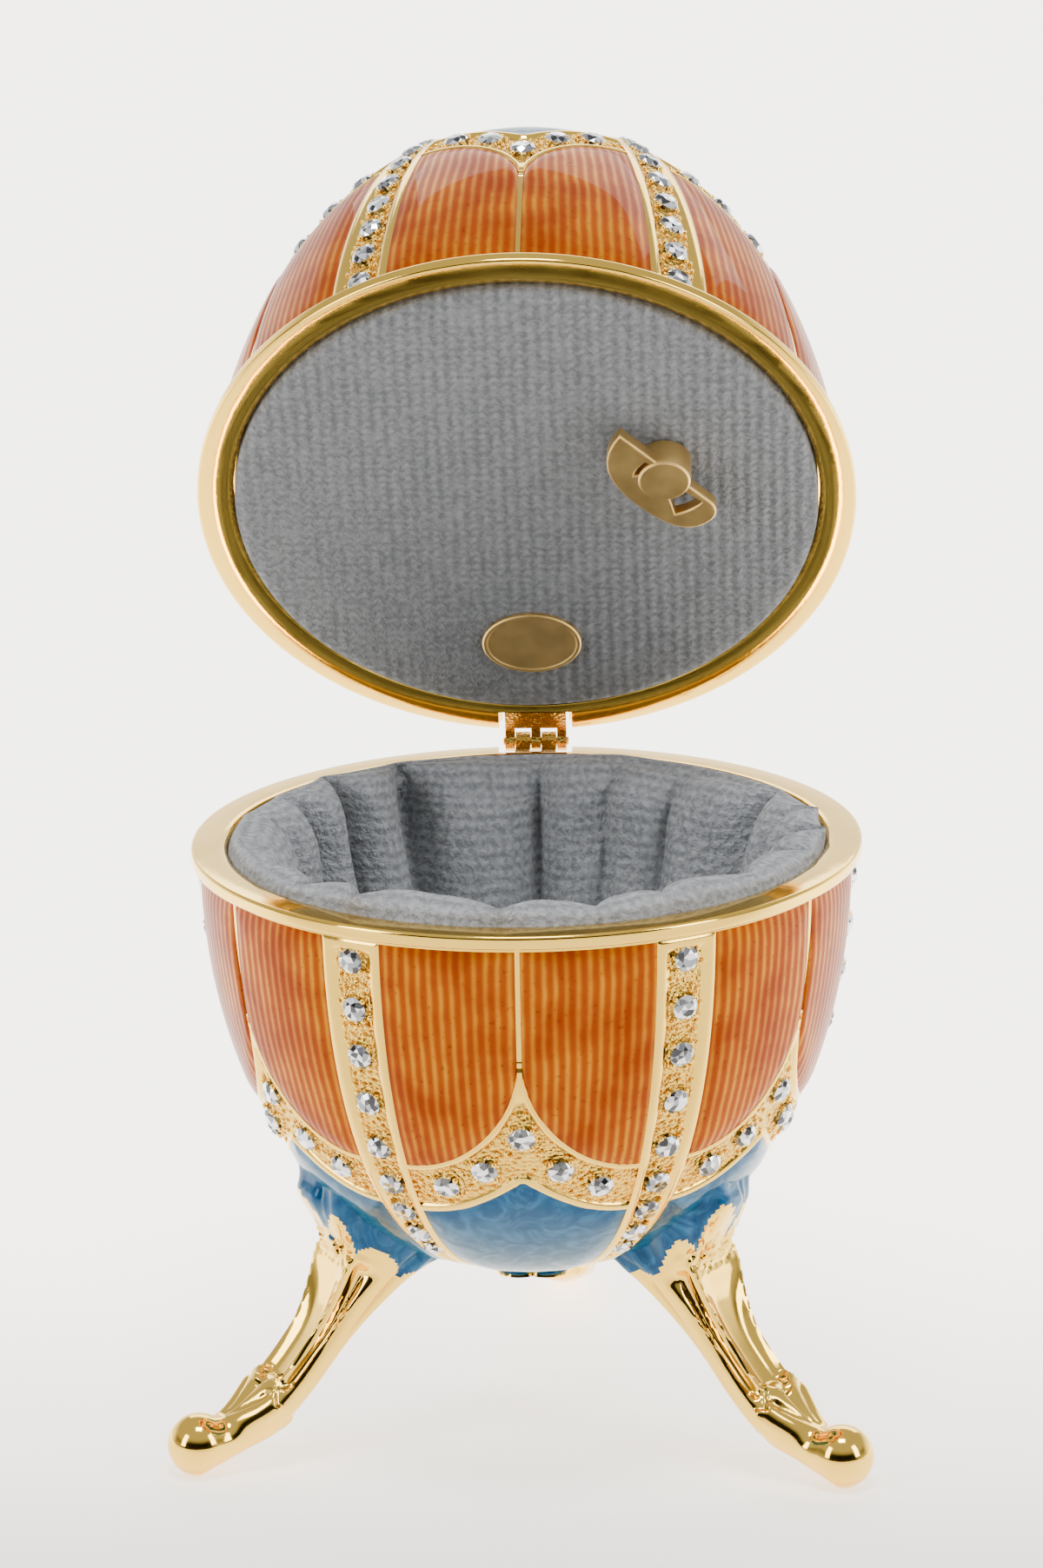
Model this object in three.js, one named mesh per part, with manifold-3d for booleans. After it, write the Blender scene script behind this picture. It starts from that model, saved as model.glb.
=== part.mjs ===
// A jewelled egg trinket box on three cabriole legs, open, with a wind-up key inside its lid.
// Millimetres, +Z up. The origin is the middle of the box around the object, on the surface it stands on.
import * as THREE from "three";
import { mergeVertices } from "three/addons/utils/BufferGeometryUtils.js";
import Module from "manifold-3d";

const wasm = await Module();
wasm.setup();

// Egg
const RIM_RADIUS = 32.5;
const RIM_HEIGHT = 59.4; // rim plane above the surface that the feet stand on
const LID_OPEN_DEG = 59.1;
const CLOSED_GAP = 0.2; // between the two rims when shut
const WALL = 1.7;
const FLANGE_HEIGHT = 1.35;
const FLANGE_ROUND = 0.35;
const RIM_LAND = 3.5; // flat width of the bowl's rim
const SECTORS = 6;

// Each half is a superellipse of revolution: (r / radius)^belly + (h / height)^shoulder = 1
const BOWL = {
  radius: RIM_RADIUS - 1.0,
  flange: RIM_RADIUS,
  height: 41.9,
  belly: 2.52,
  shoulder: 2.08,
  arcStart: 12.8, // depth at which the seam opens into the arch
  arcEnd: 25.0, // depth of the orange panel's end beside a rib
  archPeak: 26.4,
  archFoot: 30.6,
  poleRadius: 5.6, // where the blue panels end, under the rosette
};
const LID = {
  radius: RIM_RADIUS - 1.6,
  flange: RIM_RADIUS - 0.2,
  height: 40.1,
  belly: 3.25,
  shoulder: 1.5,
  arcStart: 16.6,
  arcEnd: 26.0,
  archPeak: 27.2,
  archFoot: 31.0,
  poleRadius: 5.6,
};

// Cast ornament
const RIB_HALF_DEG = 5.7;
const SEAM_WIDTH = 0.45;
const PANEL_START = 1.8; // from the rim plane to the first edge of the enamel
const CELL_DEPTH = 0.7;
const CELL_GAP = 0.12; // between the enamel and its cell
const ENAMEL_EDGE = 0.0; // enamel surface beside the metal
const ENAMEL_CROWN = 0.28; // and in the middle of a panel
const PANEL_COLUMNS = 2;
const COLUMN_EASE = 1.4; // gathers the columns towards the seam, where the arch is steepest
const PANEL_ROWS = 3;
const BLUE_ROWS = 2;

// Rosettes at both poles
const ROSETTE_RADIUS = 4.9;
const ROSETTE_HEIGHT = 1.9;
const ROSETTE_PETALS = 6;

// Legs: flat straps whose centreline leaves the bowl's surface and sweeps out to an upturned ball foot
const LEG_TURN_DEG = -3.5; // the set of legs is turned a little against the hinge
const LEG_ROOT_RADIUS = 17.1; // where the strap's middle leaves the bowl, from the egg's axis
const LEG_ROOT_OVERLAP = 0.12; // how far the strap starts inside the bowl, as a share of its reach
const LEG_SWEEP = 1.88;
const FOOT_RADIUS = 3.1;
const FOOT_OUT = 36.0; // middle of the foot from the egg's axis
const FOOT_FLAT = 0.15; // worn off the underside of each foot
const FLARE_LENGTH = 0.36; // share of the reach over which the strap widens to the bowl
const FLARE_THICKNESS = 6.6; // half sizes at the bowl
const FLARE_WIDTH = 5.2;
const STRAP_THICKNESS = 1.85; // half sizes of the plain strap
const STRAP_WIDTH = 3.7;
const LEG_SIDES = 12;
const LEG_STEPS = 9;

// Hinge
const HINGE_BACK = 1.2; // axis behind the rim
const KNUCKLE_RADIUS = 1.0;
const PIN_RADIUS = 0.42;
const PIN_CLEARANCE = 0.08;
const HINGE_WIDTH = 6.2;
const LID_FINGER = 0.95;
const FINGER_GAP = 0.1;
const LEAF_THICKNESS = 0.75;
const NOTCH_WIDTH = 7.4;
const NOTCH_DEPTH = 2.6;
const NOTCH_HEIGHT = 1.45;

// Lid's inside
const LID_LAND = 1.5;
const PAD_INSET = 3.7; // pad's edge from the lid's flange
const padRadius = LID.flange - PAD_INSET;
const PAD_THICKNESS = 2.0;
const PAD_PROUD = 0.4; // pad's face in front of the lid's rim plane
const COVE_DEPTH = 1.1; // of the groove around the pad
const PAD_GAP = 0.15;
const LEDGE_WIDTH = 1.2;
const LEDGE_HEIGHT = 1.0;

// Winding key, on the lid's pad
const KEY_X = 13.6;
const KEY_TO_FREE_EDGE = 6.6;
const KEY_TURN_DEG = 46;
const KEY_HUB_RADIUS = 2.6;
const KEY_HUB_HEIGHT = 2.2;
const KEY_PLATE = 0.9;
const KEY_HALF_LENGTH = 7.1;
const KEY_HALF_WIDTH = 4.3;
const KEY_CHORD = 2.2; // from the hub's axis to the wing's straight edge
const KEY_SHAFT_RADIUS = 1.1;
const KEY_GAP = 0.15;
const KEY_COLLAR = 0.6;

// Plain oval plate on the pad
const PLATE_HALF_X = 4.95;
const PLATE_HALF_Y = 4.1;
const PLATE_THICKNESS = 0.5;
const PLATE_TO_HINGE = 18.8;

// Lining
const LINING_GAP = 0.3;
const LINING_CREST = -0.45; // highest fold, against the rim plane
const LINING_FOLDS = 11;
const LINING_SIDES = 36;
const LINING_ROLL = 8.9; // from the flange to the pocket, just below the crest
const liningPocket = BOWL.flange - LINING_ROLL;
const LINING_THICK = 8.5; // stuffed thickness under the pocket

const ROUND_SIDES = 32;
const deg = THREE.MathUtils.degToRad;
const lerp = THREE.MathUtils.lerp;
const clamp = THREE.MathUtils.clamp;

const gold = new THREE.MeshStandardMaterial({ color: 0xe8bd5c, metalness: 1, roughness: 0.2 });
const brass = new THREE.MeshStandardMaterial({ color: 0xb98d48, metalness: 1, roughness: 0.4 });
const orange = new THREE.MeshStandardMaterial({ color: 0xd9701c, roughness: 0.12 });
const blue = new THREE.MeshStandardMaterial({ color: 0x3676ae, roughness: 0.12 });
const velour = new THREE.MeshStandardMaterial({ color: 0x8f9497, roughness: 1 });

// Solids

function solidOf(geometry) {
  const bare = geometry.clone();
  for (const name of Object.keys(bare.attributes)) {
    if (name !== "position") bare.deleteAttribute(name);
  }
  const merged = mergeVertices(bare, 1e-4);
  return new wasm.Manifold(
    new wasm.Mesh({
      numProp: 3,
      vertProperties: merged.attributes.position.array,
      triVerts: new Uint32Array(merged.index.array),
    }),
  );
}

function geometryOf(solid) {
  const mesh = solid.getMesh();
  return new THREE.BufferGeometry()
    .setAttribute("position", new THREE.BufferAttribute(new Float32Array(mesh.vertProperties), 3))
    .setIndex(new THREE.BufferAttribute(new Uint32Array(mesh.triVerts), 1));
}

// Collects vertices by key and quads and triangles by vertex number
class MeshMaker {
  points = [];
  index = [];
  known = new Map();

  vertex(key, make) {
    if (!this.known.has(key)) {
      this.known.set(key, this.points.length);
      this.points.push(make());
    }
    return this.known.get(key);
  }

  triangle(a, b, c) {
    this.index.push(a, b, c);
  }

  quad(a, b, c, d) {
    this.index.push(a, b, c, a, c, d);
  }

  geometry() {
    return new THREE.BufferGeometry().setFromPoints(this.points).setIndex(this.index);
  }
}

// A closed solid through rings of the same number of points, each turning the same way, with flat ends
function loft(rings) {
  const maker = new MeshMaker();
  const sides = rings[0].length;
  const at = (i, j) => maker.vertex(`${i},${j % sides}`, () => rings[i][j % sides]);
  const middle = (ring) =>
    ring.reduce((sum, p) => sum.add(p), new THREE.Vector3()).divideScalar(ring.length);
  const last = rings.length - 1;
  for (let i = 0; i < last; i++) {
    for (let j = 0; j < sides; j++) maker.quad(at(i, j), at(i, j + 1), at(i + 1, j + 1), at(i + 1, j));
  }
  const start = maker.vertex("start", () => middle(rings[0]));
  const end = maker.vertex("end", () => middle(rings[last]));
  for (let j = 0; j < sides; j++) {
    maker.triangle(start, at(0, j + 1), at(0, j));
    maker.triangle(end, at(last, j), at(last, j + 1));
  }
  return maker.geometry();
}

// A closed solid between two levels of one patch: place(i, j, level) with i up and j anticlockwise
function patchSolid(rows, columns, place) {
  const maker = new MeshMaker();
  const at = (i, j, level) => maker.vertex(`${i},${j},${level}`, () => place(i, j, level));
  for (let i = 0; i < rows; i++) {
    for (let j = 0; j < columns; j++) {
      maker.quad(at(i, j, 1), at(i, j + 1, 1), at(i + 1, j + 1, 1), at(i + 1, j, 1));
      maker.quad(at(i, j, 0), at(i + 1, j, 0), at(i + 1, j + 1, 0), at(i, j + 1, 0));
    }
  }
  for (let j = 0; j < columns; j++) {
    maker.quad(at(0, j, 0), at(0, j + 1, 0), at(0, j + 1, 1), at(0, j, 1));
    maker.quad(at(rows, j, 1), at(rows, j + 1, 1), at(rows, j + 1, 0), at(rows, j, 0));
  }
  for (let i = 0; i < rows; i++) {
    maker.quad(at(i, 0, 1), at(i + 1, 0, 1), at(i + 1, 0, 0), at(i, 0, 0));
    maker.quad(at(i, columns, 0), at(i + 1, columns, 0), at(i + 1, columns, 1), at(i, columns, 1));
  }
  return maker.geometry();
}

// A solid of revolution about Z from [radius, height] pairs that start and end on the axis, going up
function revolve(profile, sides = ROUND_SIDES) {
  const points = profile.map(([r, z]) => new THREE.Vector2(r, z));
  return new THREE.LatheGeometry(points, sides).rotateX(Math.PI / 2);
}

function box(x0, x1, y0, y1, z0, z1) {
  return new THREE.BoxGeometry(x1 - x0, y1 - y0, z1 - z0).translate(
    (x0 + x1) / 2,
    (y0 + y1) / 2,
    (z0 + z1) / 2,
  );
}

// The egg's halves, each with its rim plane at 0 and its pole up

// t runs from 0 at the rim to 1 at the pole
function profileAt(half, t) {
  const angle = (clamp(t, 0, 1) * Math.PI) / 2;
  const r = half.radius * Math.cos(angle) ** (2 / half.belly);
  const h = half.height * Math.sin(angle) ** (2 / half.shoulder);
  const nr = (half.belly / half.radius) * (r / half.radius) ** (half.belly - 1);
  const nh = (half.shoulder / half.height) * (h / half.height) ** (half.shoulder - 1);
  const length = Math.hypot(nr, nh);
  return { r, h, nr: nr / length, nh: nh / length };
}

const tAtHeight = (half, h) =>
  Math.asin(clamp(h / half.height, 0, 1) ** (half.shoulder / 2)) / (Math.PI / 2);
const tAtRadius = (half, r) =>
  Math.acos(clamp(r / half.radius, 0, 1) ** (half.belly / 2)) / (Math.PI / 2);

function surfacePoint(half, angle, t, out) {
  const p = profileAt(half, t);
  const r = p.r + out * p.nr;
  return new THREE.Vector3(r * Math.cos(angle), r * Math.sin(angle), p.h + out * p.nh);
}

// Columns of one sector: side is -1, 0 or 1 of the seam, and across runs from 0 at the seam to 1 at the rib
function sectorColumns() {
  const steps = [];
  for (let j = PANEL_COLUMNS; j >= 0; j--) {
    steps.push({ side: -1, across: (j / PANEL_COLUMNS) ** COLUMN_EASE });
  }
  steps.push({ side: 0, across: 0 });
  for (let j = 0; j <= PANEL_COLUMNS; j++) {
    steps.push({ side: 1, across: (j / PANEL_COLUMNS) ** COLUMN_EASE });
  }
  return steps;
}

const sectorMiddle = (k) => Math.PI / 2 + (k * 2 * Math.PI) / SECTORS;
const ribEdge = Math.PI / SECTORS - deg(RIB_HALF_DEG);

function columnAngle(half, k, column, t, inset) {
  const r = Math.max(profileAt(half, t).r, 0.5);
  const seam = (SEAM_WIDTH / 2 + inset) / r;
  return sectorMiddle(k) + column.side * lerp(seam, ribEdge - inset / r, column.across);
}

// Where the pattern's edges cross a column
const orangeEnd = (half, across) =>
  half.arcStart + (half.arcEnd - half.arcStart) * Math.sqrt(1 - (1 - across) ** 2);
const blueStart = (half, across) =>
  half.archFoot - (half.archFoot - half.archPeak) * (1 - across) ** 2;

// The rows of the cast surface from the flange to the pole: t on a column, and the kind of face above
function patternRows(half) {
  const rows = [];
  const add = (kind, t) => rows.push({ kind, t });
  add("metal", () => tAtHeight(half, FLANGE_HEIGHT));
  for (let i = 0; i < PANEL_ROWS; i++) {
    add("orange", (across) =>
      lerp(tAtHeight(half, PANEL_START), tAtHeight(half, orangeEnd(half, across)), i / PANEL_ROWS),
    );
  }
  for (let i = 0; i < 2; i++) {
    add("metal", (across) =>
      lerp(tAtHeight(half, orangeEnd(half, across)), tAtHeight(half, blueStart(half, across)), i / 2),
    );
  }
  for (let i = 0; i < BLUE_ROWS; i++) {
    add("blue", (across) =>
      lerp(tAtHeight(half, blueStart(half, across)), tAtRadius(half, half.poleRadius), i / BLUE_ROWS),
    );
  }
  add("metal", () => tAtRadius(half, half.poleRadius));
  return rows;
}

// The outer form of a half, closed flat at the rim plane, with its enamel cells sunk
function castOuter(half) {
  const columns = sectorColumns();
  const rows = patternRows(half);
  const flange = [
    [half.flange - FLANGE_ROUND, 0],
    [half.flange, FLANGE_ROUND],
    [half.flange, FLANGE_HEIGHT - FLANGE_ROUND],
    [half.flange - FLANGE_ROUND, FLANGE_HEIGHT],
  ];
  const across = columns.length;
  const around = SECTORS * across;
  const total = flange.length + rows.length;
  const maker = new MeshMaker();
  const place = (i, j, level) => {
    const k = Math.floor(j / across);
    const column = columns[j % across];
    if (i < flange.length) {
      const angle = columnAngle(half, k, column, 0, 0);
      const [r, h] = flange[i];
      return new THREE.Vector3(r * Math.cos(angle), r * Math.sin(angle), h);
    }
    const t = rows[i - flange.length].t(column.across);
    return surfacePoint(half, columnAngle(half, k, column, t, 0), t, level ? -CELL_DEPTH : 0);
  };
  const at = (i, j, level) => {
    const wrapped = (j + around) % around;
    return maker.vertex(`${i},${wrapped},${level}`, () => place(i, wrapped, level));
  };
  const level = (i, j) => {
    if (i < flange.length || i >= total - 1) return 0;
    const kind = rows[i - flange.length].kind;
    const from = ((j + around) % around) % across;
    if (from === across - 1) return 0; // the rib
    if (kind === "blue") return 1;
    const seam = from === PANEL_COLUMNS || from === PANEL_COLUMNS + 1;
    return kind === "orange" && !seam ? 1 : 0;
  };
  const wall = (here, there, p, q) => {
    if (here !== there) maker.quad(at(...q, here), at(...p, here), at(...p, there), at(...q, there));
  };
  for (let i = 0; i < total - 1; i++) {
    for (let j = 0; j < around; j++) {
      const here = level(i, j);
      maker.quad(at(i, j, here), at(i, j + 1, here), at(i + 1, j + 1, here), at(i + 1, j, here));
      wall(here, level(i + 1, j), [i + 1, j + 1], [i + 1, j]);
      wall(here, level(i, j + 1), [i, j + 1], [i + 1, j + 1]);
    }
  }
  const pole = maker.vertex("pole", () => new THREE.Vector3(0, 0, half.height));
  const middle = maker.vertex("middle", () => new THREE.Vector3(0, 0, 0));
  for (let j = 0; j < around; j++) {
    maker.triangle(pole, at(total - 1, j, 0), at(total - 1, j + 1, 0));
    maker.triangle(middle, at(0, j + 1, 0), at(0, j, 0));
  }
  return maker.geometry();
}

// [radius, height] pairs along the inside of the wall, from a radius at the mouth to the pole
function insideProfile(half, offset, mouthRadius, fromHeight, steps = 6) {
  const start = tAtHeight(half, fromHeight);
  const pairs = [];
  for (let i = 0; i <= steps; i++) {
    const p = profileAt(half, lerp(start, 1, i / steps));
    const r = i === steps ? 0 : Math.min(mouthRadius, Math.max(p.r - offset * p.nr, 0));
    pairs.push([r, p.h - offset * p.nh]);
  }
  return pairs;
}

// hingeSide is the sign of y on which the hinge notch lies
function notchCutter(half, hingeSide) {
  const inner = half.flange - NOTCH_DEPTH;
  const outer = half.flange + 2;
  const y = hingeSide > 0 ? [inner, outer] : [-outer, -inner];
  return solidOf(box(-NOTCH_WIDTH / 2, NOTCH_WIDTH / 2, ...y, -1, NOTCH_HEIGHT));
}

function bowlCasting() {
  const mouth = BOWL.flange - RIM_LAND;
  const cavity = revolve([[0, -1], [mouth, -1], ...insideProfile(BOWL, WALL, mouth, 10)]);
  const cast = solidOf(castOuter(BOWL)).subtract(solidOf(cavity));
  return geometryOf(cast.subtract(notchCutter(BOWL, -1)));
}

function lidCasting() {
  const bore = padRadius + PAD_GAP;
  const seat = PAD_THICKNESS + PAD_GAP - PAD_PROUD;
  const landInner = LID.flange - LID_LAND;
  const cove = [1, 2, 3].map((i) => {
    const turn = (i / 3) * (Math.PI / 2);
    const r = landInner - (landInner - bore) * Math.sin(turn);
    return [r, COVE_DEPTH * (1 - Math.cos(turn))];
  });
  const cavity = revolve([
    [0, -1],
    [landInner, -1],
    [landInner, 0],
    ...cove,
    [bore, seat],
    [bore - LEDGE_WIDTH, seat],
    [bore - LEDGE_WIDTH, seat + LEDGE_HEIGHT],
    ...insideProfile(LID, WALL, LID.radius, seat + LEDGE_HEIGHT + 1.5),
  ]);
  const cast = solidOf(castOuter(LID)).subtract(solidOf(cavity));
  return geometryOf(cast.subtract(notchCutter(LID, 1)));
}

const levelOut = (level, edge) => {
  if (!level) return CELL_GAP - CELL_DEPTH;
  return edge ? ENAMEL_EDGE : ENAMEL_CROWN;
};

function orangePanel(half, k, side) {
  const columns = sectorColumns().filter((c) => c.side === side);
  const last = columns.length - 1;
  return patchSolid(PANEL_ROWS, last, (i, j, level) => {
    const column = columns[j];
    const t = lerp(
      tAtHeight(half, PANEL_START + CELL_GAP),
      tAtHeight(half, orangeEnd(half, column.across) - CELL_GAP),
      i / PANEL_ROWS,
    );
    const edge = i === 0 || i === PANEL_ROWS || j === 0 || j === last;
    return surfacePoint(half, columnAngle(half, k, column, t, CELL_GAP), t, levelOut(level, edge));
  });
}

function bluePanel(half, k) {
  const columns = sectorColumns();
  const last = columns.length - 1;
  return patchSolid(BLUE_ROWS, last, (i, j, level) => {
    const column = columns[j];
    const t = lerp(
      tAtHeight(half, blueStart(half, column.across) + CELL_GAP),
      tAtRadius(half, half.poleRadius + CELL_GAP),
      i / BLUE_ROWS,
    );
    const r = profileAt(half, t).r;
    const shrink = 1 - CELL_GAP / (r * ribEdge);
    const angle = columnAngle(half, k, column, t, 0) - sectorMiddle(k);
    const edge = i === 0 || i === BLUE_ROWS || j === 0 || j === last;
    return surfacePoint(half, sectorMiddle(k) + angle * shrink, t, levelOut(level, edge));
  });
}

// A shallow calyx of lobes that hugs a pole
function rosette(half) {
  const base = half.height + CELL_GAP;
  const ring = (radius, height) =>
    Array.from({ length: ROSETTE_PETALS * 4 }, (_, j) => {
      const a = (j / (ROSETTE_PETALS * 4)) * 2 * Math.PI;
      const lobe = 0.84 + 0.16 * Math.abs(Math.cos((ROSETTE_PETALS * a) / 2 + Math.PI / 2));
      const r = radius * lobe;
      return new THREE.Vector3(r * Math.cos(a), r * Math.sin(a), base + height);
    });
  return loft([
    ring(ROSETTE_RADIUS * 0.92, 0),
    ring(ROSETTE_RADIUS, ROSETTE_HEIGHT * 0.35),
    ring(ROSETTE_RADIUS * 0.72, ROSETTE_HEIGHT * 0.8),
    ring(ROSETTE_RADIUS * 0.3, ROSETTE_HEIGHT),
  ]);
}

// Legs

const legRootDepth = profileAt(BOWL, tAtRadius(BOWL, LEG_ROOT_RADIUS)).h;
const footDepth = RIM_HEIGHT - FOOT_RADIUS + FOOT_FLAT;

// A point of the centreline; reach is 0 at the bowl and 1 in the middle of the foot
function legPoint(reach) {
  const out = lerp(LEG_ROOT_RADIUS, FOOT_OUT, reach);
  const depth = lerp(legRootDepth, footDepth, 1 - (1 - reach) ** LEG_SWEEP);
  return new THREE.Vector3(out, 0, -depth);
}

const flare = (reach, root, strap) =>
  strap + (root - strap) * Math.max(0, 1 - reach / FLARE_LENGTH) ** 2;

// One section across the leg: a rounded strap with a rib between two channels on its outer face
function legRing(middle, along, thickness, width, carve) {
  const across = new THREE.Vector3(0, -1, 0);
  const outward = new THREE.Vector3().crossVectors(across, along).normalize();
  const round = carve > 0 ? 0.72 : 1;
  const rounded = (x) => Math.sign(x) * Math.abs(x) ** round;
  return Array.from({ length: LEG_SIDES }, (_, j) => {
    const a = (j / LEG_SIDES) * 2 * Math.PI;
    const channel = j === 1 || j === LEG_SIDES - 1 ? 0.75 : 1;
    const depth = thickness * rounded(Math.cos(a)) * lerp(1, channel, carve);
    return middle
      .clone()
      .addScaledVector(outward, depth)
      .addScaledVector(across, width * rounded(Math.sin(a)));
  });
}

function legRings() {
  const rings = [];
  const last = 1 - (0.9 * FOOT_RADIUS) / (FOOT_OUT - LEG_ROOT_RADIUS);
  for (let i = 0; i <= LEG_STEPS; i++) {
    const reach = lerp(-LEG_ROOT_OVERLAP, last, i / LEG_STEPS);
    const along = legPoint(reach + 0.01).sub(legPoint(reach - 0.01)).normalize();
    const thickness = flare(reach, FLARE_THICKNESS, STRAP_THICKNESS);
    const ankle = Math.max(0, (reach - 0.6) / (last - 0.6));
    const width = lerp(flare(reach, FLARE_WIDTH, STRAP_WIDTH), 0.88 * FOOT_RADIUS, ankle);
    const thick = lerp(thickness, 0.74 * FOOT_RADIUS, ankle);
    rings.push(legRing(legPoint(reach), along, thick, width, 1 - ankle));
  }
  const along = new THREE.Vector3(0.93, 0, 0.37);
  for (const turn of [-35, 0, 35, 68]) {
    const size = FOOT_RADIUS * Math.cos(deg(turn));
    const middle = legPoint(1).addScaledVector(along, FOOT_RADIUS * Math.sin(deg(turn)));
    rings.push(legRing(middle, along, size, size, 0));
  }
  return rings;
}

// The leg in its own frame: its plane is XZ, and the rim plane is at 0
function legGeometry() {
  const egg = [[0, -2], [BOWL.radius, -2]];
  const clear = ENAMEL_CROWN + CELL_GAP;
  for (let i = 0; i <= 12; i++) {
    const p = profileAt(BOWL, i / 12);
    egg.push([i === 12 ? 0 : p.r + clear * p.nr, p.h + clear * p.nh]);
  }
  const eggSolid = solidOf(revolve(egg).rotateX(Math.PI));
  const far = 2 * FOOT_OUT;
  const floor = solidOf(box(0, far, -far, far, -2 * RIM_HEIGHT, -RIM_HEIGHT));
  const leg = solidOf(loft(legRings())).subtract(eggSolid).subtract(floor);
  const largest = leg.decompose().sort((a, b) => b.volume() - a.volume())[0];
  return geometryOf(largest);
}

// Hinge: the pin lies along X on the axis, and the leaves lie in notches in the two rims

const boreRadius = PIN_RADIUS + PIN_CLEARANCE;
const hingeY = RIM_RADIUS + HINGE_BACK;

function alongX(radius, x0, x1, sides = 10) {
  return new THREE.CylinderGeometry(radius, radius, x1 - x0, sides)
    .rotateZ(Math.PI / 2)
    .translate((x0 + x1) / 2, 0, 0);
}

// spans are [x0, x1] of each finger, up is 1 for the lid and -1 for the bowl, and barY is at the notch
function hingeLeaf(spans, up, barY) {
  const reach = (z0, z1) => (up > 0 ? [z0, z1] : [-z1, -z0]);
  const low = KNUCKLE_RADIUS - LEAF_THICKNESS;
  let leaf = solidOf(
    box(spans[0][0], spans.at(-1)[1], barY, barY + LEAF_THICKNESS, ...reach(low, KNUCKLE_RADIUS)),
  );
  for (const [x0, x1] of spans) {
    leaf = leaf.add(solidOf(alongX(KNUCKLE_RADIUS, x0, x1)));
    leaf = leaf.add(solidOf(box(x0, x1, barY, 0, ...reach(low, KNUCKLE_RADIUS))));
  }
  const web = [barY, -KNUCKLE_RADIUS - FINGER_GAP];
  const thin = reach(KNUCKLE_RADIUS - LEAF_THICKNESS / 3, KNUCKLE_RADIUS);
  leaf = leaf.add(solidOf(box(spans[0][0], spans.at(-1)[1], ...web, ...thin)));
  return geometryOf(leaf.subtract(solidOf(alongX(boreRadius, -HINGE_WIDTH, HINGE_WIDTH))));
}

function hingeSpans() {
  const half = HINGE_WIDTH / 2;
  const lid = [
    [-half, -half + LID_FINGER],
    [-LID_FINGER / 2, LID_FINGER / 2],
    [half - LID_FINGER, half],
  ];
  const bowl = [0, 1].map((i) => [lid[i][1] + FINGER_GAP, lid[i + 1][0] - FINGER_GAP]);
  return { lid, bowl };
}

// Lid's inside

function padGeometry() {
  const face = -PAD_PROUD;
  const disc = solidOf(
    revolve([[0, face], [padRadius, face], [padRadius, face + PAD_THICKNESS], [0, face + PAD_THICKNESS]]),
  );
  const hole = new THREE.CylinderGeometry(
    KEY_SHAFT_RADIUS + KEY_GAP,
    KEY_SHAFT_RADIUS + KEY_GAP,
    3 * PAD_THICKNESS,
    12,
  )
    .rotateX(Math.PI / 2)
    .translate(KEY_X, -KEY_TO_FREE_EDGE, face + PAD_THICKNESS / 2);
  return geometryOf(disc.subtract(solidOf(hole)));
}

// The key in its own frame: it turns about Z, its shaft goes up through the pad and its wing lies below
function keyGeometry() {
  const wing = new THREE.Shape();
  const tip = -KEY_HALF_LENGTH - 0.2;
  const chord = -KEY_CHORD;
  wing.moveTo(tip + 3.2, chord);
  wing.quadraticCurveTo(tip - 0.4, chord, tip, 0);
  wing.bezierCurveTo(tip + 1.6, 2.6, -4.6, KEY_HALF_WIDTH, 0.6, KEY_HALF_WIDTH);
  wing.bezierCurveTo(4.4, KEY_HALF_WIDTH, KEY_HALF_LENGTH, 3.6, KEY_HALF_LENGTH, 0.6);
  wing.quadraticCurveTo(KEY_HALF_LENGTH, chord, KEY_HALF_LENGTH - 2.6, chord);
  for (const side of [-1, 1]) {
    const slot = new THREE.Path();
    const middle = side * (KEY_HUB_RADIUS + 1.35);
    slot.absellipse(middle, 0.2, 1.05, 1.15, 0, 2 * Math.PI, false);
    wing.holes.push(slot);
  }
  const plate = new THREE.ExtrudeGeometry(wing, {
    depth: KEY_PLATE,
    bevelEnabled: false,
    curveSegments: 5,
  }).translate(0, 0, -KEY_HUB_HEIGHT - KEY_PLATE);
  const inside = PAD_THICKNESS + 2 * KEY_GAP;
  const post = revolve(
    [
      [0, -KEY_HUB_HEIGHT - KEY_PLATE - 0.1],
      [KEY_HUB_RADIUS, -KEY_HUB_HEIGHT - KEY_PLATE - 0.1],
      [KEY_HUB_RADIUS, 0],
      [KEY_SHAFT_RADIUS, 0],
      [KEY_SHAFT_RADIUS, inside],
      [KEY_SHAFT_RADIUS + 3 * KEY_GAP, inside],
      [KEY_SHAFT_RADIUS + 3 * KEY_GAP, inside + KEY_COLLAR],
      [0, inside + KEY_COLLAR],
    ],
    18,
  );
  return geometryOf(solidOf(plate).add(solidOf(post)));
}

function ovalPlate() {
  const shape = new THREE.Shape().absellipse(0, 0, PLATE_HALF_X, PLATE_HALF_Y, 0, 2 * Math.PI, false);
  return new THREE.ExtrudeGeometry(shape, {
    depth: PLATE_THICKNESS,
    bevelEnabled: false,
    curveSegments: 14,
  });
}

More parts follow.
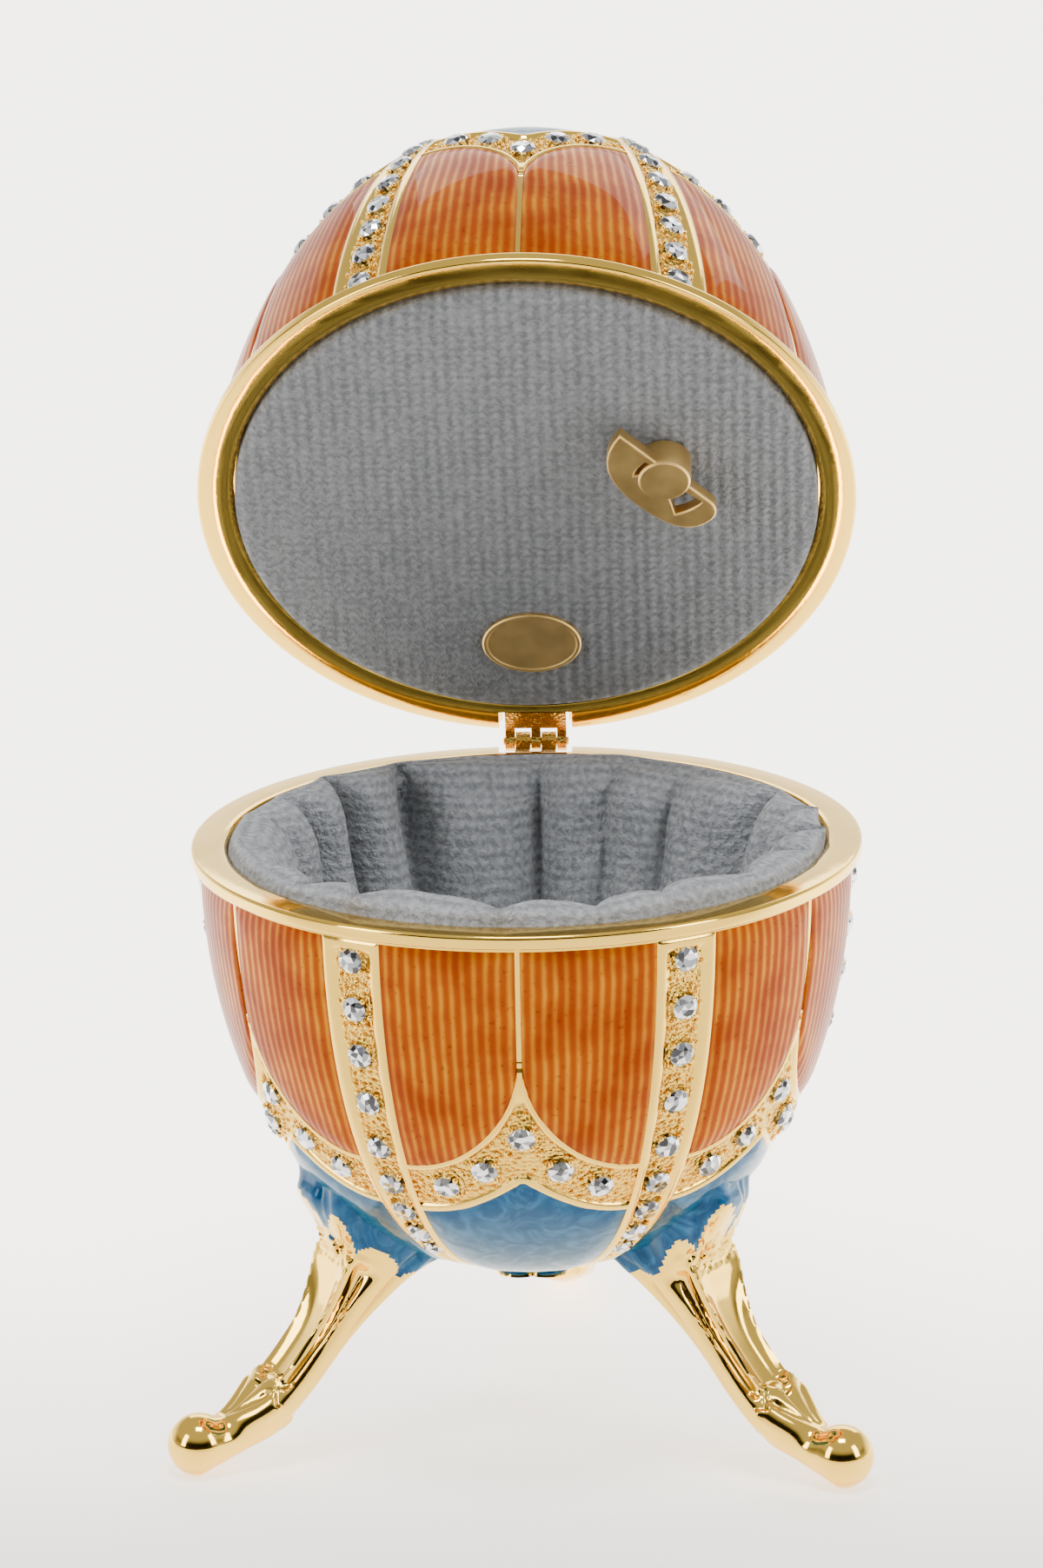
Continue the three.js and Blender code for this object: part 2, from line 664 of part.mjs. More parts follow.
// The stuffed lining: it fills the bowl to the wall and leaves a pocket with soft radial folds
function liningGeometry() {
  const mouth = BOWL.flange - RIM_LAND - LINING_GAP;
  const outside = [0.02, 0.3, 0.55, 0.75, 0.9].map((u) => {
    const p = profileAt(BOWL, u);
    const offset = WALL + LINING_GAP;
    return [Math.min(mouth, p.r - offset * p.nr), -(p.h - offset * p.nh)];
  });
  const pocketFloor = LINING_THICK + WALL - BOWL.height;
  const inside = [
    [mouth - 1.0, LINING_CREST - 0.3, 0.25],
    [lerp(liningPocket, mouth, 0.42), LINING_CREST, 0.9],
    [liningPocket + 0.5, -1.1, 1],
    [liningPocket - 0.2, -3.2, 0.5],
    [liningPocket - 2.2, -9, 0.8],
    [liningPocket - 5.2, -16.5, 0.9],
    [liningPocket - 10, -24, 0.6],
    [liningPocket - 17, lerp(pocketFloor, -24, 0.15), 0.2],
  ];
  const ring = (radius, height, fold) =>
    Array.from({ length: LINING_SIDES }, (_, j) => {
      const a = (j / LINING_SIDES) * 2 * Math.PI;
      const wave = 0.5 + 0.5 * Math.cos(LINING_FOLDS * a + 1.3 * Math.sin(2 * a));
      const r = radius + 1.5 * fold * wave;
      return new THREE.Vector3(
        Math.min(r, mouth) * Math.cos(a),
        Math.min(r, mouth) * Math.sin(a),
        height - 1.1 * fold * wave,
      );
    });
  const rings = [
    ...outside.reverse().map(([r, h]) => ring(r, h, 0)),
    ...inside.map(([r, h, fold]) => ring(r, h, fold)),
  ];
  return loft(rings);
}

// Assembly

function named(name, geometry, material) {
  const mesh = new THREE.Mesh(geometry, material);
  mesh.name = name;
  return mesh;
}

function halfGroup(prefix, half, casting) {
  const group = new THREE.Group();
  group.add(named(`${prefix}_casting`, casting, gold));
  for (let k = 0; k < SECTORS; k++) {
    group.add(named(`${prefix}_orange_enamel_${2 * k + 1}`, orangePanel(half, k, -1), orange));
    group.add(named(`${prefix}_orange_enamel_${2 * k + 2}`, orangePanel(half, k, 1), orange));
    group.add(named(`${prefix}_blue_enamel_${k + 1}`, bluePanel(half, k), blue));
  }
  group.add(named(`${prefix}_rosette`, rosette(half), gold));
  return group;
}

function baseGroup() {
  const group = new THREE.Group();
  const bowl = halfGroup("bowl", BOWL, bowlCasting());
  bowl.rotation.x = Math.PI;
  group.add(bowl);
  const legs = new THREE.Group();
  legs.rotation.z = deg(LEG_TURN_DEG);
  [["leg_back", 90], ["leg_left", 210], ["leg_right", 330]].forEach(([name, angle]) => {
    const leg = named(name, legGeometry(), gold);
    leg.rotation.z = deg(angle);
    legs.add(leg);
  });
  group.add(legs);
  group.add(named("bowl_lining", liningGeometry(), velour));
  const spans = hingeSpans();
  const leaf = named("hinge_leaf_bowl", hingeLeaf(spans.bowl, -1, notchBack(BOWL)), gold);
  leaf.position.set(0, hingeY, CLOSED_GAP / 2);
  const pin = named("hinge_pin", alongX(PIN_RADIUS, -HINGE_WIDTH / 2 - 0.2, HINGE_WIDTH / 2 + 0.2), gold);
  pin.position.copy(leaf.position);
  group.add(leaf, pin);
  return group;
}

// y of the back of a half's notch, measured from the hinge axis, with the leaf's gap
const notchBack = (half) => half.flange - NOTCH_DEPTH + CELL_GAP - hingeY;

// The lid in a frame whose origin is on the hinge axis
function lidGroup() {
  const group = new THREE.Group();
  const shell = halfGroup("lid", LID, lidCasting());
  const pad = named("lid_pad", padGeometry(), velour);
  const plate = named("lid_plate", ovalPlate(), brass);
  plate.position.set(0, PLATE_TO_HINGE, -PAD_PROUD - PLATE_THICKNESS - 0.02);
  const key = named("winding_key", keyGeometry(), brass);
  key.position.set(KEY_X, -KEY_TO_FREE_EDGE, -PAD_PROUD - KEY_GAP);
  key.rotation.z = deg(KEY_TURN_DEG);
  shell.add(pad, plate, key);
  shell.position.set(0, -hingeY, CLOSED_GAP / 2);
  group.add(shell);
  group.add(named("hinge_leaf_lid", hingeLeaf(hingeSpans().lid, 1, notchBack(LID)), gold));
  return group;
}

const egg = new THREE.Group();
const lid = lidGroup();
lid.position.set(0, hingeY, CLOSED_GAP / 2);
lid.rotation.x = -deg(LID_OPEN_DEG);
egg.add(baseGroup(), lid);

// Puts the middle of the footprint box at the origin and the feet on the surface
egg.updateMatrixWorld(true);
const bounds = new THREE.Box3().setFromObject(egg, true);
const middle = bounds.getCenter(new THREE.Vector3());
egg.position.set(-middle.x, -middle.y, -bounds.min.z);

const part = new THREE.Group();
part.add(egg);

export default part;
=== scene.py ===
import math

import bpy
import numpy as np
from mathutils import Matrix, Vector


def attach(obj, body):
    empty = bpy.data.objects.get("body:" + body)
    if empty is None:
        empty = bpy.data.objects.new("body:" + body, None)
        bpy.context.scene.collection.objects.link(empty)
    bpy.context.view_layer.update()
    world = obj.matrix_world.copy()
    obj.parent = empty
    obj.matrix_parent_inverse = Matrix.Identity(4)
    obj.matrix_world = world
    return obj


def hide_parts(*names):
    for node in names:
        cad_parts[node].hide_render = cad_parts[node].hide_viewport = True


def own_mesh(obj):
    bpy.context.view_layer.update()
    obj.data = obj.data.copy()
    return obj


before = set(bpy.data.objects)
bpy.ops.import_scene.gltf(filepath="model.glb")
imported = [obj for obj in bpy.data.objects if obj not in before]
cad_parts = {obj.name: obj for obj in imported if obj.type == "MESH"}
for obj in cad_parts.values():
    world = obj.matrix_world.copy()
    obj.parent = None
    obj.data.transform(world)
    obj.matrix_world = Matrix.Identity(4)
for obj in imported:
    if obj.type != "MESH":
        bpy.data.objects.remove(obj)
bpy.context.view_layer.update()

# Sizes in millimetres, those of the part's source and of the finer work that is only here

MM = 0.001
RIM_RADIUS = 32.5
RIM_CENTRE = np.array([1.1233, -12.0004, 59.4])
LID_OPEN_DEG = 59.1
CLOSED_GAP = 0.2
HINGE_BACK = 1.2
WALL = 1.7
FLANGE_HEIGHT = 1.35
FLANGE_ROUND = 0.35
RIM_LAND = 3.5
SECTORS = 6

# Each half is a superellipse of revolution: (r / radius)^belly + (h / height)^shoulder = 1
BOWL = {
    "radius": RIM_RADIUS - 1.0,
    "flange": RIM_RADIUS,
    "height": 41.9,
    "belly": 2.52,
    "shoulder": 2.08,
    "arc_start": 12.8,
    "arc_end": 25.0,
    "arch_peak": 26.4,
    "arch_foot": 30.6,
    "pole_radius": 5.6,
    "arch_stone": 21.3,
    "blue_sink": 0.0,
    "rib_stones": [3.9, 8.8, 13.6, 18.6, 23.6, 27.8, 31.2, 34.2, 36.4],
}
LID = {
    "radius": RIM_RADIUS - 1.6,
    "flange": RIM_RADIUS - 0.2,
    "height": 40.1,
    "belly": 3.25,
    "shoulder": 1.5,
    "arc_start": 16.6,
    "arc_end": 26.0,
    "arch_peak": 27.2,
    "arch_foot": 31.0,
    "pole_radius": 5.6,
    "arch_stone": 23.2,
    "blue_sink": 0.5,
    "rib_stones": [3.5, 8.0, 12.5, 17.0, 21.6, 26.2, 30.1, 33.2, 35.6],
}

# Cast ornament
RIB_HALF = math.radians(5.7)
RIB_EDGE = math.pi / SECTORS - RIB_HALF
SEAM_WIDTH = 0.45
PANEL_START = 1.8
CELL_DEPTH = 0.7
ENAMEL_CROWN = 0.3
RIB_RAIL = 1.0  # width of the smooth border along a rib
ARCH_RAIL = 0.6  # and along an arch
RAIL_CREST = 0.12
CHANNEL_DEPTH = 0.32
STONE_RADIUS = 1.3
BEAD_RADIUS = 0.3
GRAIN_TRIES = 5200  # places tried for the small cast grains of a half
GUILLOCHE_PITCH = 1.08

# Rosettes
ROSETTE_RADIUS = 4.9
ROSETTE_HEIGHT = 1.9
ROSETTE_PETALS = 6

# Legs
LEG_TURN_DEG = -3.5
LEG_ROOT_RADIUS = 17.1
LEG_ROOT_OVERLAP = 0.12
LEG_SWEEP = 1.88
FOOT_RADIUS = 3.1
FOOT_OUT = 36.0
FOOT_FLAT = 0.15
FLARE_LENGTH = 0.36
FLARE_THICKNESS = 6.6
FLARE_WIDTH = 5.2
STRAP_THICKNESS = 1.85
STRAP_WIDTH = 3.7
LEG_SUNK = 0.99  # how near to the egg's surface the leg's hidden root stays
LEG_ENAMEL = 3.6  # enamel on the leg's root, from the egg to the leaf's edge
LEG_LOBES = 1.9

# Hinge notch
NOTCH_WIDTH = 7.4
NOTCH_DEPTH = 2.6
NOTCH_HEIGHT = 1.45

# Lid's inside
LID_LAND = 1.5
PAD_RADIUS = 28.6
PAD_THICKNESS = 2.0
PAD_PROUD = 0.4
COVE_DEPTH = 1.1
PAD_GAP = 0.15
LEDGE_WIDTH = 1.2
LEDGE_HEIGHT = 1.0
KNIT_PITCH = 1.25

# Winding key
KEY_X = 13.6
KEY_TO_FREE_EDGE = 6.6
KEY_TURN_DEG = 46
KEY_HUB_RADIUS = 2.6
KEY_HUB_HEIGHT = 1.7
KEY_PLATE = 1.4
KEY_HALF_LENGTH = 7.1
KEY_HALF_WIDTH = 4.3
KEY_CHORD = 1.2
KEY_SHAFT_RADIUS = 1.1
KEY_GAP = 0.15

# Oval plate
PLATE_HALF_X = 4.95
PLATE_HALF_Y = 4.1
PLATE_THICKNESS = 0.5
PLATE_TO_HINGE = 18.8

# Lining
LINING_GAP = 0.3
LINING_CREST = 0.9
LINING_FOLDS = 19
LINING_POCKET = 23.2
LINING_THICK = 8.5
LINING_ROWS = 160
LINING_COLUMNS = 32 * LINING_FOLDS
PUFF_PRESSURE = 4.0
PUFF_FRAMES = 20
PUFF_LIMIT = 1.0  # millimetres that a point of the lining may move

# Camera, solved from the photograph
CAMERA_TURN_DEG = 2.0
CAMERA_RISE_DEG = 16.1
CAMERA_ROLL_DEG = -1.0
CAMERA_DISTANCE = 650.0
CAMERA_LENS = 154.5
CAMERA_AIM = np.array([-0.39, 0.0, 5.3])  # from the rim's middle

SEED = 11
CREASE_DEG = 35.0  # a sharper edge is shaded as an edge

# Studio
WORLD_GLOW = 0.7
FLOOR_GLOW = 3.4


# Places: a local frame as (axes in columns, origin)


def turned(axis, degrees):
    """Rotation matrix about one axis, 0 for X or 2 for Z."""
    a = math.radians(degrees)
    c, s = math.cos(a), math.sin(a)
    if axis == 0:
        return np.array([[1, 0, 0], [0, c, -s], [0, s, c]])
    return np.array([[c, -s, 0], [s, c, 0], [0, 0, 1]])


def within(outer, axes, origin):
    """The place of a frame that is given inside another."""
    return outer[0] @ axes, outer[0] @ np.array(origin, float) + outer[1]


EGG_PLACE = (np.eye(3), RIM_CENTRE)
BOWL_PLACE = within(EGG_PLACE, turned(0, 180), (0, 0, 0))
HINGE_Y = RIM_RADIUS + HINGE_BACK
AXIS_PLACE = within(EGG_PLACE, turned(0, -LID_OPEN_DEG), (0, HINGE_Y, CLOSED_GAP / 2))
LID_PLACE = within(AXIS_PLACE, np.eye(3), (0, -HINGE_Y, CLOSED_GAP / 2))
KEY_PLACE = within(
    LID_PLACE, turned(2, KEY_TURN_DEG), (KEY_X, -KEY_TO_FREE_EDGE, -PAD_PROUD - KEY_GAP)
)
PLATE_PLACE = within(LID_PLACE, np.eye(3), (0, PLATE_TO_HINGE, -PAD_PROUD - PLATE_THICKNESS))


# Materials


class Value:
    """A node's output, on which Python's operators add Math nodes."""

    def __init__(self, paint, socket):
        self.paint = paint
        self.socket = socket

    def __add__(self, other):
        return self.paint.maths("ADD", self, other)

    def __sub__(self, other):
        return self.paint.maths("SUBTRACT", self, other)

    def __rsub__(self, other):
        return self.paint.maths("SUBTRACT", other, self)

    def __mul__(self, other):
        return self.paint.maths("MULTIPLY", self, other)

    def __truediv__(self, other):
        return self.paint.maths("DIVIDE", self, other)

    def __pow__(self, other):
        return self.paint.maths("POWER", self, other)

    __radd__ = __add__
    __rmul__ = __mul__


class Nodes:
    """A node tree that is built by name."""

    def __init__(self, tree):
        self.tree = tree

    def join(self, socket, value):
        if isinstance(value, Value):
            self.tree.links.new(value.socket, socket)
        elif socket.type == "RGBA":
            socket.default_value = (*value, 1.0)
        else:
            socket.default_value = value

    def node(self, kind, settings=None, sockets=None, output=0):
        """Any node: its settings first, then what its sockets take, by name or number."""
        node = self.tree.nodes.new("ShaderNode" + kind)
        for key, value in (settings or {}).items():
            setattr(node, key, value)
        for key, value in (sockets or {}).items():
            self.join(node.inputs[key], value)
        return Value(self, node.outputs[output])

    def maths(self, operation, first, second):
        return self.node("Math", {"operation": operation}, {0: first, 1: second})

    def wave(self, value):
        """Cosine of a value that counts whole turns, from 0 to 1."""
        turn = self.node("Math", {"operation": "COSINE"}, {0: value * (2 * math.pi)})
        return turn * 0.5 + 0.5

    def smooth(self, value, low, high):
        """0 below low, 1 above high."""
        settings = {"interpolation_type": "SMOOTHSTEP"}
        sockets = {"Value": value, "From Min": low, "From Max": high}
        return self.node("MapRange", settings, sockets)

    def mix(self, factor, first, second):
        """Two colours by a factor."""
        return self.node("Mix", {"data_type": "RGBA"}, {0: factor, 6: first, 7: second}, 2)

    def part(self, vector, axis):
        """One coordinate of a vector."""
        return self.node("SeparateXYZ", None, {0: vector}, axis)


class Paint(Nodes):
    """One material around its Principled shader, whose plain values are given by name."""

    def __init__(self, name, **constants):
        self.material = bpy.data.materials.new(name)
        self.material.use_nodes = True
        super().__init__(self.material.node_tree)
        self.shader = self.tree.nodes["Principled BSDF"]
        for key, value in constants.items():
            self.set(key.replace("_", " ").title().replace("Ior", "IOR"), value)

    def set(self, socket, value):
        self.join(self.shader.inputs[socket], value)

    def here(self):
        """The point on the piece at rest, in metres."""
        return self.node("TexCoord", output=3)

    def pattern(self, axis):
        """One coordinate of the piece's own pattern map, in millimetres."""
        return self.part(self.node("UVMap", {"uv_map": "pattern"}), axis)

    def noise(self, size, detail=2.0, distortion=0.0):
        """Soft noise whose features are about size millimetres across."""
        sockets = {
            "Vector": self.here(),
            "Scale": 1 / (size * MM),
            "Detail": detail,
            "Distortion": distortion,
        }
        return self.node("TexNoise", None, sockets)

    def grains(self, size):
        """Distance from the middle of round grains of about size millimetres."""
        sockets = {"Vector": self.here(), "Scale": 1 / (size * MM), "Randomness": 0.8}
        return self.node("TexVoronoi", {"feature": "F1"}, sockets)

    def bump(self, height, depth, strength=1.0):
        """Relief of depth millimetres on the shader's normal."""
        sockets = {"Height": height, "Distance": depth * MM, "Strength": strength}
        self.set("Normal", self.node("Bump", None, sockets))


def polished_gold():
    paint = Paint("polished_gold", metallic=1.0)
    cloud = paint.noise(9.0, 3.0)
    paint.set("Base Color", paint.mix(cloud, (0.92, 0.56, 0.075), (1.0, 0.67, 0.125)))
    speck = paint.smooth(paint.noise(0.7, 3.0), 0.55, 0.75)
    paint.set("Roughness", cloud * 0.08 + speck * 0.06 + 0.06)
    paint.bump(paint.noise(2.5, 2.0), 0.05, 0.35)
    return paint.material


def grained_gold():
    paint = Paint("grained_gold", metallic=1.0)
    grain = paint.grains(0.5)
    # each grain is paler at its middle and darker towards its edge, in the hollows between grains:
    # painted shade
    paint.set("Base Color", paint.mix(grain * grain, (1.0, 0.64, 0.09), (0.50, 0.29, 0.05)))
    paint.set("Roughness", paint.noise(0.5) * 0.2 + 0.16)
    paint.bump(1 - grain, 0.3, 1.0)
    return paint.material


def stippled_gold():
    paint = Paint("stippled_gold", metallic=1.0)
    grain = paint.grains(0.3)
    paint.set("Base Color", paint.mix(paint.noise(3.0), (0.62, 0.34, 0.05), (0.86, 0.54, 0.11)))
    paint.set("Roughness", paint.noise(0.8) * 0.2 + 0.15)
    paint.bump(grain, 0.06, 0.8)
    return paint.material


def satin_brass():
    paint = Paint("satin_brass", metallic=1.0)
    wear = paint.noise(2.0, 4.0)
    paint.set("Base Color", paint.mix(wear, (0.60, 0.38, 0.12), (0.86, 0.60, 0.23)))
    paint.set("Roughness", wear * 0.2 + 0.3)
    paint.bump(paint.noise(0.35, 3.0), 0.03, 0.5)
    return paint.material


def orange_enamel():
    paint = Paint("orange_enamel", coat_roughness=0.03, coat_ior=1.3, specular_ior_level=0.0)
    wander = paint.noise(5.0, 2.0) * 0.5
    line = paint.wave(paint.pattern(0) / GUILLOCHE_PITCH + wander) ** 2.0
    patch = paint.smooth(paint.noise(5.0, 3.0), 0.3, 0.7)
    dark = paint.mix(patch, (0.24, 0.030, 0.0), (0.34, 0.060, 0.0))
    light = paint.mix(patch, (0.46, 0.125, 0.0), (0.60, 0.22, 0.0))
    fleck = paint.smooth(paint.noise(0.5, 2.0), 0.62, 0.72)
    colour = paint.mix(line * (patch * 0.4 + 0.6), dark, light)
    paint.set("Base Color", paint.mix(fleck * 0.4, colour, (0.06, 0.008, 0.001)))
    paint.set("Metallic", line * 0.2 + 0.15)
    paint.set("Roughness", 0.42 - line * 0.12)
    paint.set("Coat Weight", paint.noise(3.0) * 0.1 + 0.25)
    return paint.material


def blue_enamel():
    paint = Paint("blue_enamel", coat_roughness=0.03, coat_ior=1.35, specular_ior_level=0.0)
    swirl = paint.noise(4.5, 3.0, 1.4)
    pearl = paint.smooth(paint.noise(3.0, 3.0, 2.4), 0.36, 0.74)
    deep = paint.mix(swirl, (0.0015, 0.022, 0.10), (0.003, 0.075, 0.17))
    front = paint.mix(pearl * 0.42, deep, (0.035, 0.17, 0.34))
    # towards grazing views the colour turns teal: a painted sheen
    grazing_sheen = paint.node("LayerWeight", None, {"Blend": 0.5}, 1)
    paint.set("Base Color", paint.mix(grazing_sheen**2 * 0.6, front, (0.006, 0.15, 0.20)))
    paint.set("Metallic", pearl * 0.25 + 0.35)
    paint.set("Roughness", 0.42 - pearl * 0.12)
    paint.set("Coat Weight", swirl * 0.1 + 0.6)
    return paint.material


def velour(name, rib_share, stitch_share, dark, pale):
    """Knitted pile: fuzz, fine stitches and, along the pattern map, soft ribs; the colour is paler
    where these stand up and darker in the grooves between them, which is painted shade besides the
    pile's own uneven tone.
    """
    paint = Paint(name, sheen_weight=0.12, sheen_roughness=0.5, specular_ior_level=0.1)
    fuzz = paint.noise(0.22, 4.0)
    cloud = paint.noise(4.0, 4.0)
    rib = paint.wave(paint.pattern(0) / KNIT_PITCH + cloud * 0.3)
    stitch = paint.wave(paint.pattern(1) / (0.75 * KNIT_PITCH) + rib * 0.3)
    tuft = paint.smooth(paint.noise(0.6, 3.0), 0.35, 0.65)
    weave = rib * rib_share + stitch * rib * stitch_share
    # darker where the bump is low, in the grooves: painted shade; the cloud is the pile's own
    # uneven tone
    shade = weave + fuzz * 0.3 + tuft * 0.25 + cloud * 0.2
    paint.set("Base Color", paint.mix(shade, dark, pale))
    paint.set("Roughness", fuzz * 0.1 + 0.9)
    paint.bump(weave + fuzz + tuft * 0.7, 0.2, 0.8)
    return paint.material


def painted_reflection_facet(name, dark, bright, metallic):
    """One of three painted reflections on a foiled stone's facets: a white, grey or near-black
    colour that stands in for the light and dark that cut stones reflect.
    """
    paint = Paint(name, coat_weight=1.0, coat_roughness=0.02)
    paint.set("Base Color", paint.mix(paint.noise(0.6), dark, bright))
    paint.set("Metallic", paint.noise(1.0) * 0.05 + metallic)
    paint.set("Roughness", paint.noise(1.5) * 0.08 + 0.03)
    return paint.material


def table_top():
    # the floor glows though it is no lamp: painted light, dim in front of the egg and bright from
    # just behind it, which lights the egg and shows in its gold
    paint = Paint("table_top", emission_strength=FLOOR_GLOW, specular_ior_level=0.2)
    pale = paint.mix(paint.noise(60.0), (0.90, 0.87, 0.81), (0.93, 0.90, 0.85))
    glow_behind = paint.smooth(paint.part(paint.here(), 1), -0.09, 0.06)
    paint.set("Base Color", pale)
    paint.set("Emission Color", paint.mix(glow_behind, (0.10, 0.092, 0.08), (1.0, 0.975, 0.93)))
    paint.set("Roughness", paint.noise(20.0) * 0.1 + 0.55)
    return paint.material


GOLD = polished_gold()
GRAINED = grained_gold()
STIPPLED = stippled_gold()
BRASS = satin_brass()
ORANGE = orange_enamel()
BLUE = blue_enamel()
PAD_VELOUR = velour("pad_velour", 0.13, 0.18, (0.06, 0.065, 0.073), (0.32, 0.335, 0.355))
LINING_VELOUR = velour("lining_velour", 0.12, 0.14, (0.085, 0.092, 0.102), (0.50, 0.515, 0.535))
# painted reflections for the stones' facets: bright, grey and dark
FACETS = [
    painted_reflection_facet("painted_bright_reflection", (0.82, 0.85, 0.90), (1.0, 1.0, 1.0), 0.75),
    painted_reflection_facet("painted_grey_reflection", (0.20, 0.22, 0.25), (0.38, 0.40, 0.44), 0.7),
    painted_reflection_facet("painted_dark_reflection", (0.01, 0.01, 0.012), (0.05, 0.05, 0.06), 0.6),
]


# Meshes


def grid_faces(rows, columns, around=False):
    """Quads of a grid whose rows go up and whose columns go anticlockwise."""
    across = np.arange(columns if around else columns - 1)
    i, j = np.meshgrid(np.arange(rows - 1), across, indexing="ij")
    after = (j + 1) % columns
    quads = [i * columns + j, i * columns + after, (i + 1) * columns + after, (i + 1) * columns + j]
    return np.stack(quads, -1).reshape(-1, 4)


class Form:
    """Vertices and faces of one piece, in millimetres in its own frame."""

    def __init__(self):
        self.points = []
        self.faces = []
        self.finishes = []
        self.pattern = []
        self.count = 0

    def add(self, points, faces, finishes=None, pattern=None):
        points = np.asarray(points, float).reshape(-1, 3)
        self.points.append(points)
        self.faces += [[int(v) + self.count for v in face] for face in faces]
        self.finishes += list(finishes) if finishes is not None else [0] * len(faces)
        if pattern is None:
            pattern = np.zeros((len(points), 2))
        self.pattern.append(pattern.reshape(-1, 2))
        self.count += len(points)

    def tube(self, rings, finishes=None, pattern=None):
        """A closed form through rings that turn anticlockwise as they go up."""
        rows, columns = rings.shape[:2]
        faces = grid_faces(rows, columns, True).tolist()
        marks = [0] * len(faces) if finishes is None else list(finishes)
        faces.append(list(range(columns))[::-1])
        faces.append([(rows - 1) * columns + j for j in range(columns)])
        self.add(rings, faces, marks + [0, 0], pattern)

    def slab(self, top, bottom, pattern=None):
        """A closed form between two grids, one above the other."""
        rows, columns = top.shape[:2]
        size = rows * columns
        sheet = grid_faces(rows, columns)
        edge = [j for j in range(columns)]
        edge += [i * columns + columns - 1 for i in range(1, rows)]
        edge += [(rows - 1) * columns + j for j in range(columns - 2, -1, -1)]
        edge += [i * columns for i in range(rows - 2, 0, -1)]
        faces = sheet.tolist() + (sheet[:, ::-1] + size).tolist()
        for a, b in zip(edge, edge[1:] + edge[:1]):
            faces.append([b, a, a + size, b + size])
        both = None if pattern is None else np.concatenate([pattern.reshape(-1, 2)] * 2)
        self.add(np.concatenate([top.reshape(-1, 3), bottom.reshape(-1, 3)]), faces, None, both)


def make(name, form, place, body, finishes, replaces=(), crease=CREASE_DEG):
    """Turns a form into an object that rides on a body and stands for CAD nodes."""
    axes, origin = place
    points = (np.concatenate(form.points) @ axes.T + origin) * MM
    mesh = bpy.data.meshes.new(name)
    mesh.from_pydata(points.tolist(), [], form.faces)
    mesh.polygons.foreach_set("material_index", form.finishes)
    corners = np.empty(len(mesh.loops), np.int32)
    mesh.loops.foreach_get("vertex_index", corners)
    layer = mesh.uv_layers.new(name="pattern")
    pattern = np.concatenate(form.pattern)[corners].astype(np.float32)
    layer.data.foreach_set("uv", pattern.ravel())
    for finish in finishes:
        mesh.materials.append(finish)
    mesh.update()
    mesh.shade_smooth()
    mesh.set_sharp_from_angle(angle=math.radians(crease))
    piece = bpy.data.objects.new(name, mesh)
    bpy.context.scene.collection.objects.link(piece)
    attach(piece, body)
    if replaces:
        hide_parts(*replaces)
    return piece


def apply_modifiers(piece):
    """Keeps the shape that the piece's modifiers give and drops them."""
    graph = bpy.context.evaluated_depsgraph_get()
    shaped = bpy.data.meshes.new_from_object(piece.evaluated_get(graph))
    piece.modifiers.clear()
    old = piece.data
    piece.data = shaped
    bpy.data.meshes.remove(old)


# The halves' surfaces, each in a frame with its rim plane at 0 and its pole up


def profile(half, t):
    """Radius, height and outward normal of the outline; t is 0 at the rim and 1 at the pole."""
    angle = np.clip(t, 0, 1) * math.pi / 2
    r = half["radius"] * np.cos(angle) ** (2 / half["belly"])
    h = half["height"] * np.sin(angle) ** (2 / half["shoulder"])
    nr = (half["belly"] / half["radius"]) * (r / half["radius"]) ** (half["belly"] - 1)
    nh = (half["shoulder"] / half["height"]) * (h / half["height"]) ** (half["shoulder"] - 1)
    length = np.hypot(nr, nh)
    return r, h, nr / length, nh / length


def t_at_height(half, h):
    return np.arcsin(np.clip(h / half["height"], 0, 1) ** (half["shoulder"] / 2)) / (math.pi / 2)


def t_at_radius(half, r):
    return np.arccos(np.clip(r / half["radius"], 0, 1) ** (half["belly"] / 2)) / (math.pi / 2)


def surface(half, angle, t, out):
    """Points on the half's surface, moved out along its normal."""
    r, h, nr, nh = profile(half, t)
    r = r + out * nr
    return np.stack(np.broadcast_arrays(r * np.cos(angle), r * np.sin(angle), h + out * nh), -1)


def lerp(a, b, x):
    return a + (b - a) * x


def smoothstep(x):
    x = np.clip(x, 0, 1)
    return x * x * (3 - 2 * x)


def orange_end(half, across):
    return lerp(half["arc_start"], half["arc_end"], np.sqrt(1 - (1 - across) ** 2))


def blue_start(half, across):
    return half["arch_foot"] - (half["arch_foot"] - half["arch_peak"]) * (1 - across) ** 2


def panel_angle(half, side, across, t):
    """Angle from a sector's middle of a column on one side of the seam."""
    r = np.maximum(profile(half, t)[0], 0.5)
    return side * lerp(SEAM_WIDTH / 2 / r, RIB_EDGE, across)


def eased(count):
    """count + 1 numbers from 0 to 1, closer together at both ends."""
    return (1 - np.cos(np.linspace(0, math.pi, count + 1))) / 2


PANEL_COLUMNS = 22
RIB_COLUMNS = 22
ORANGE_ROWS = 34
ARCH_ROWS = 34
BLUE_ROWS = 24


def sector_columns():
    """Columns from rib to rib, each as side, across, rib share, orange cell and blue cell."""
    across = eased(PANEL_COLUMNS)
    columns = [(-1, 1.0, 0, 0, 0)]
    columns += [(-1, x, 0, 1, 1) for x in across[::-1]]
    columns += [(-1, 0.0, 0, 0, 1), (1, 0.0, 0, 0, 1)]
    columns += [(1, x, 0, 1, 1) for x in across]
    columns += [(1, 1.0, 0, 0, 0)]
    columns += [(1, 1.0, x, 0, 0) for x in eased(RIB_COLUMNS)[1:-1]]
    return np.array(columns)


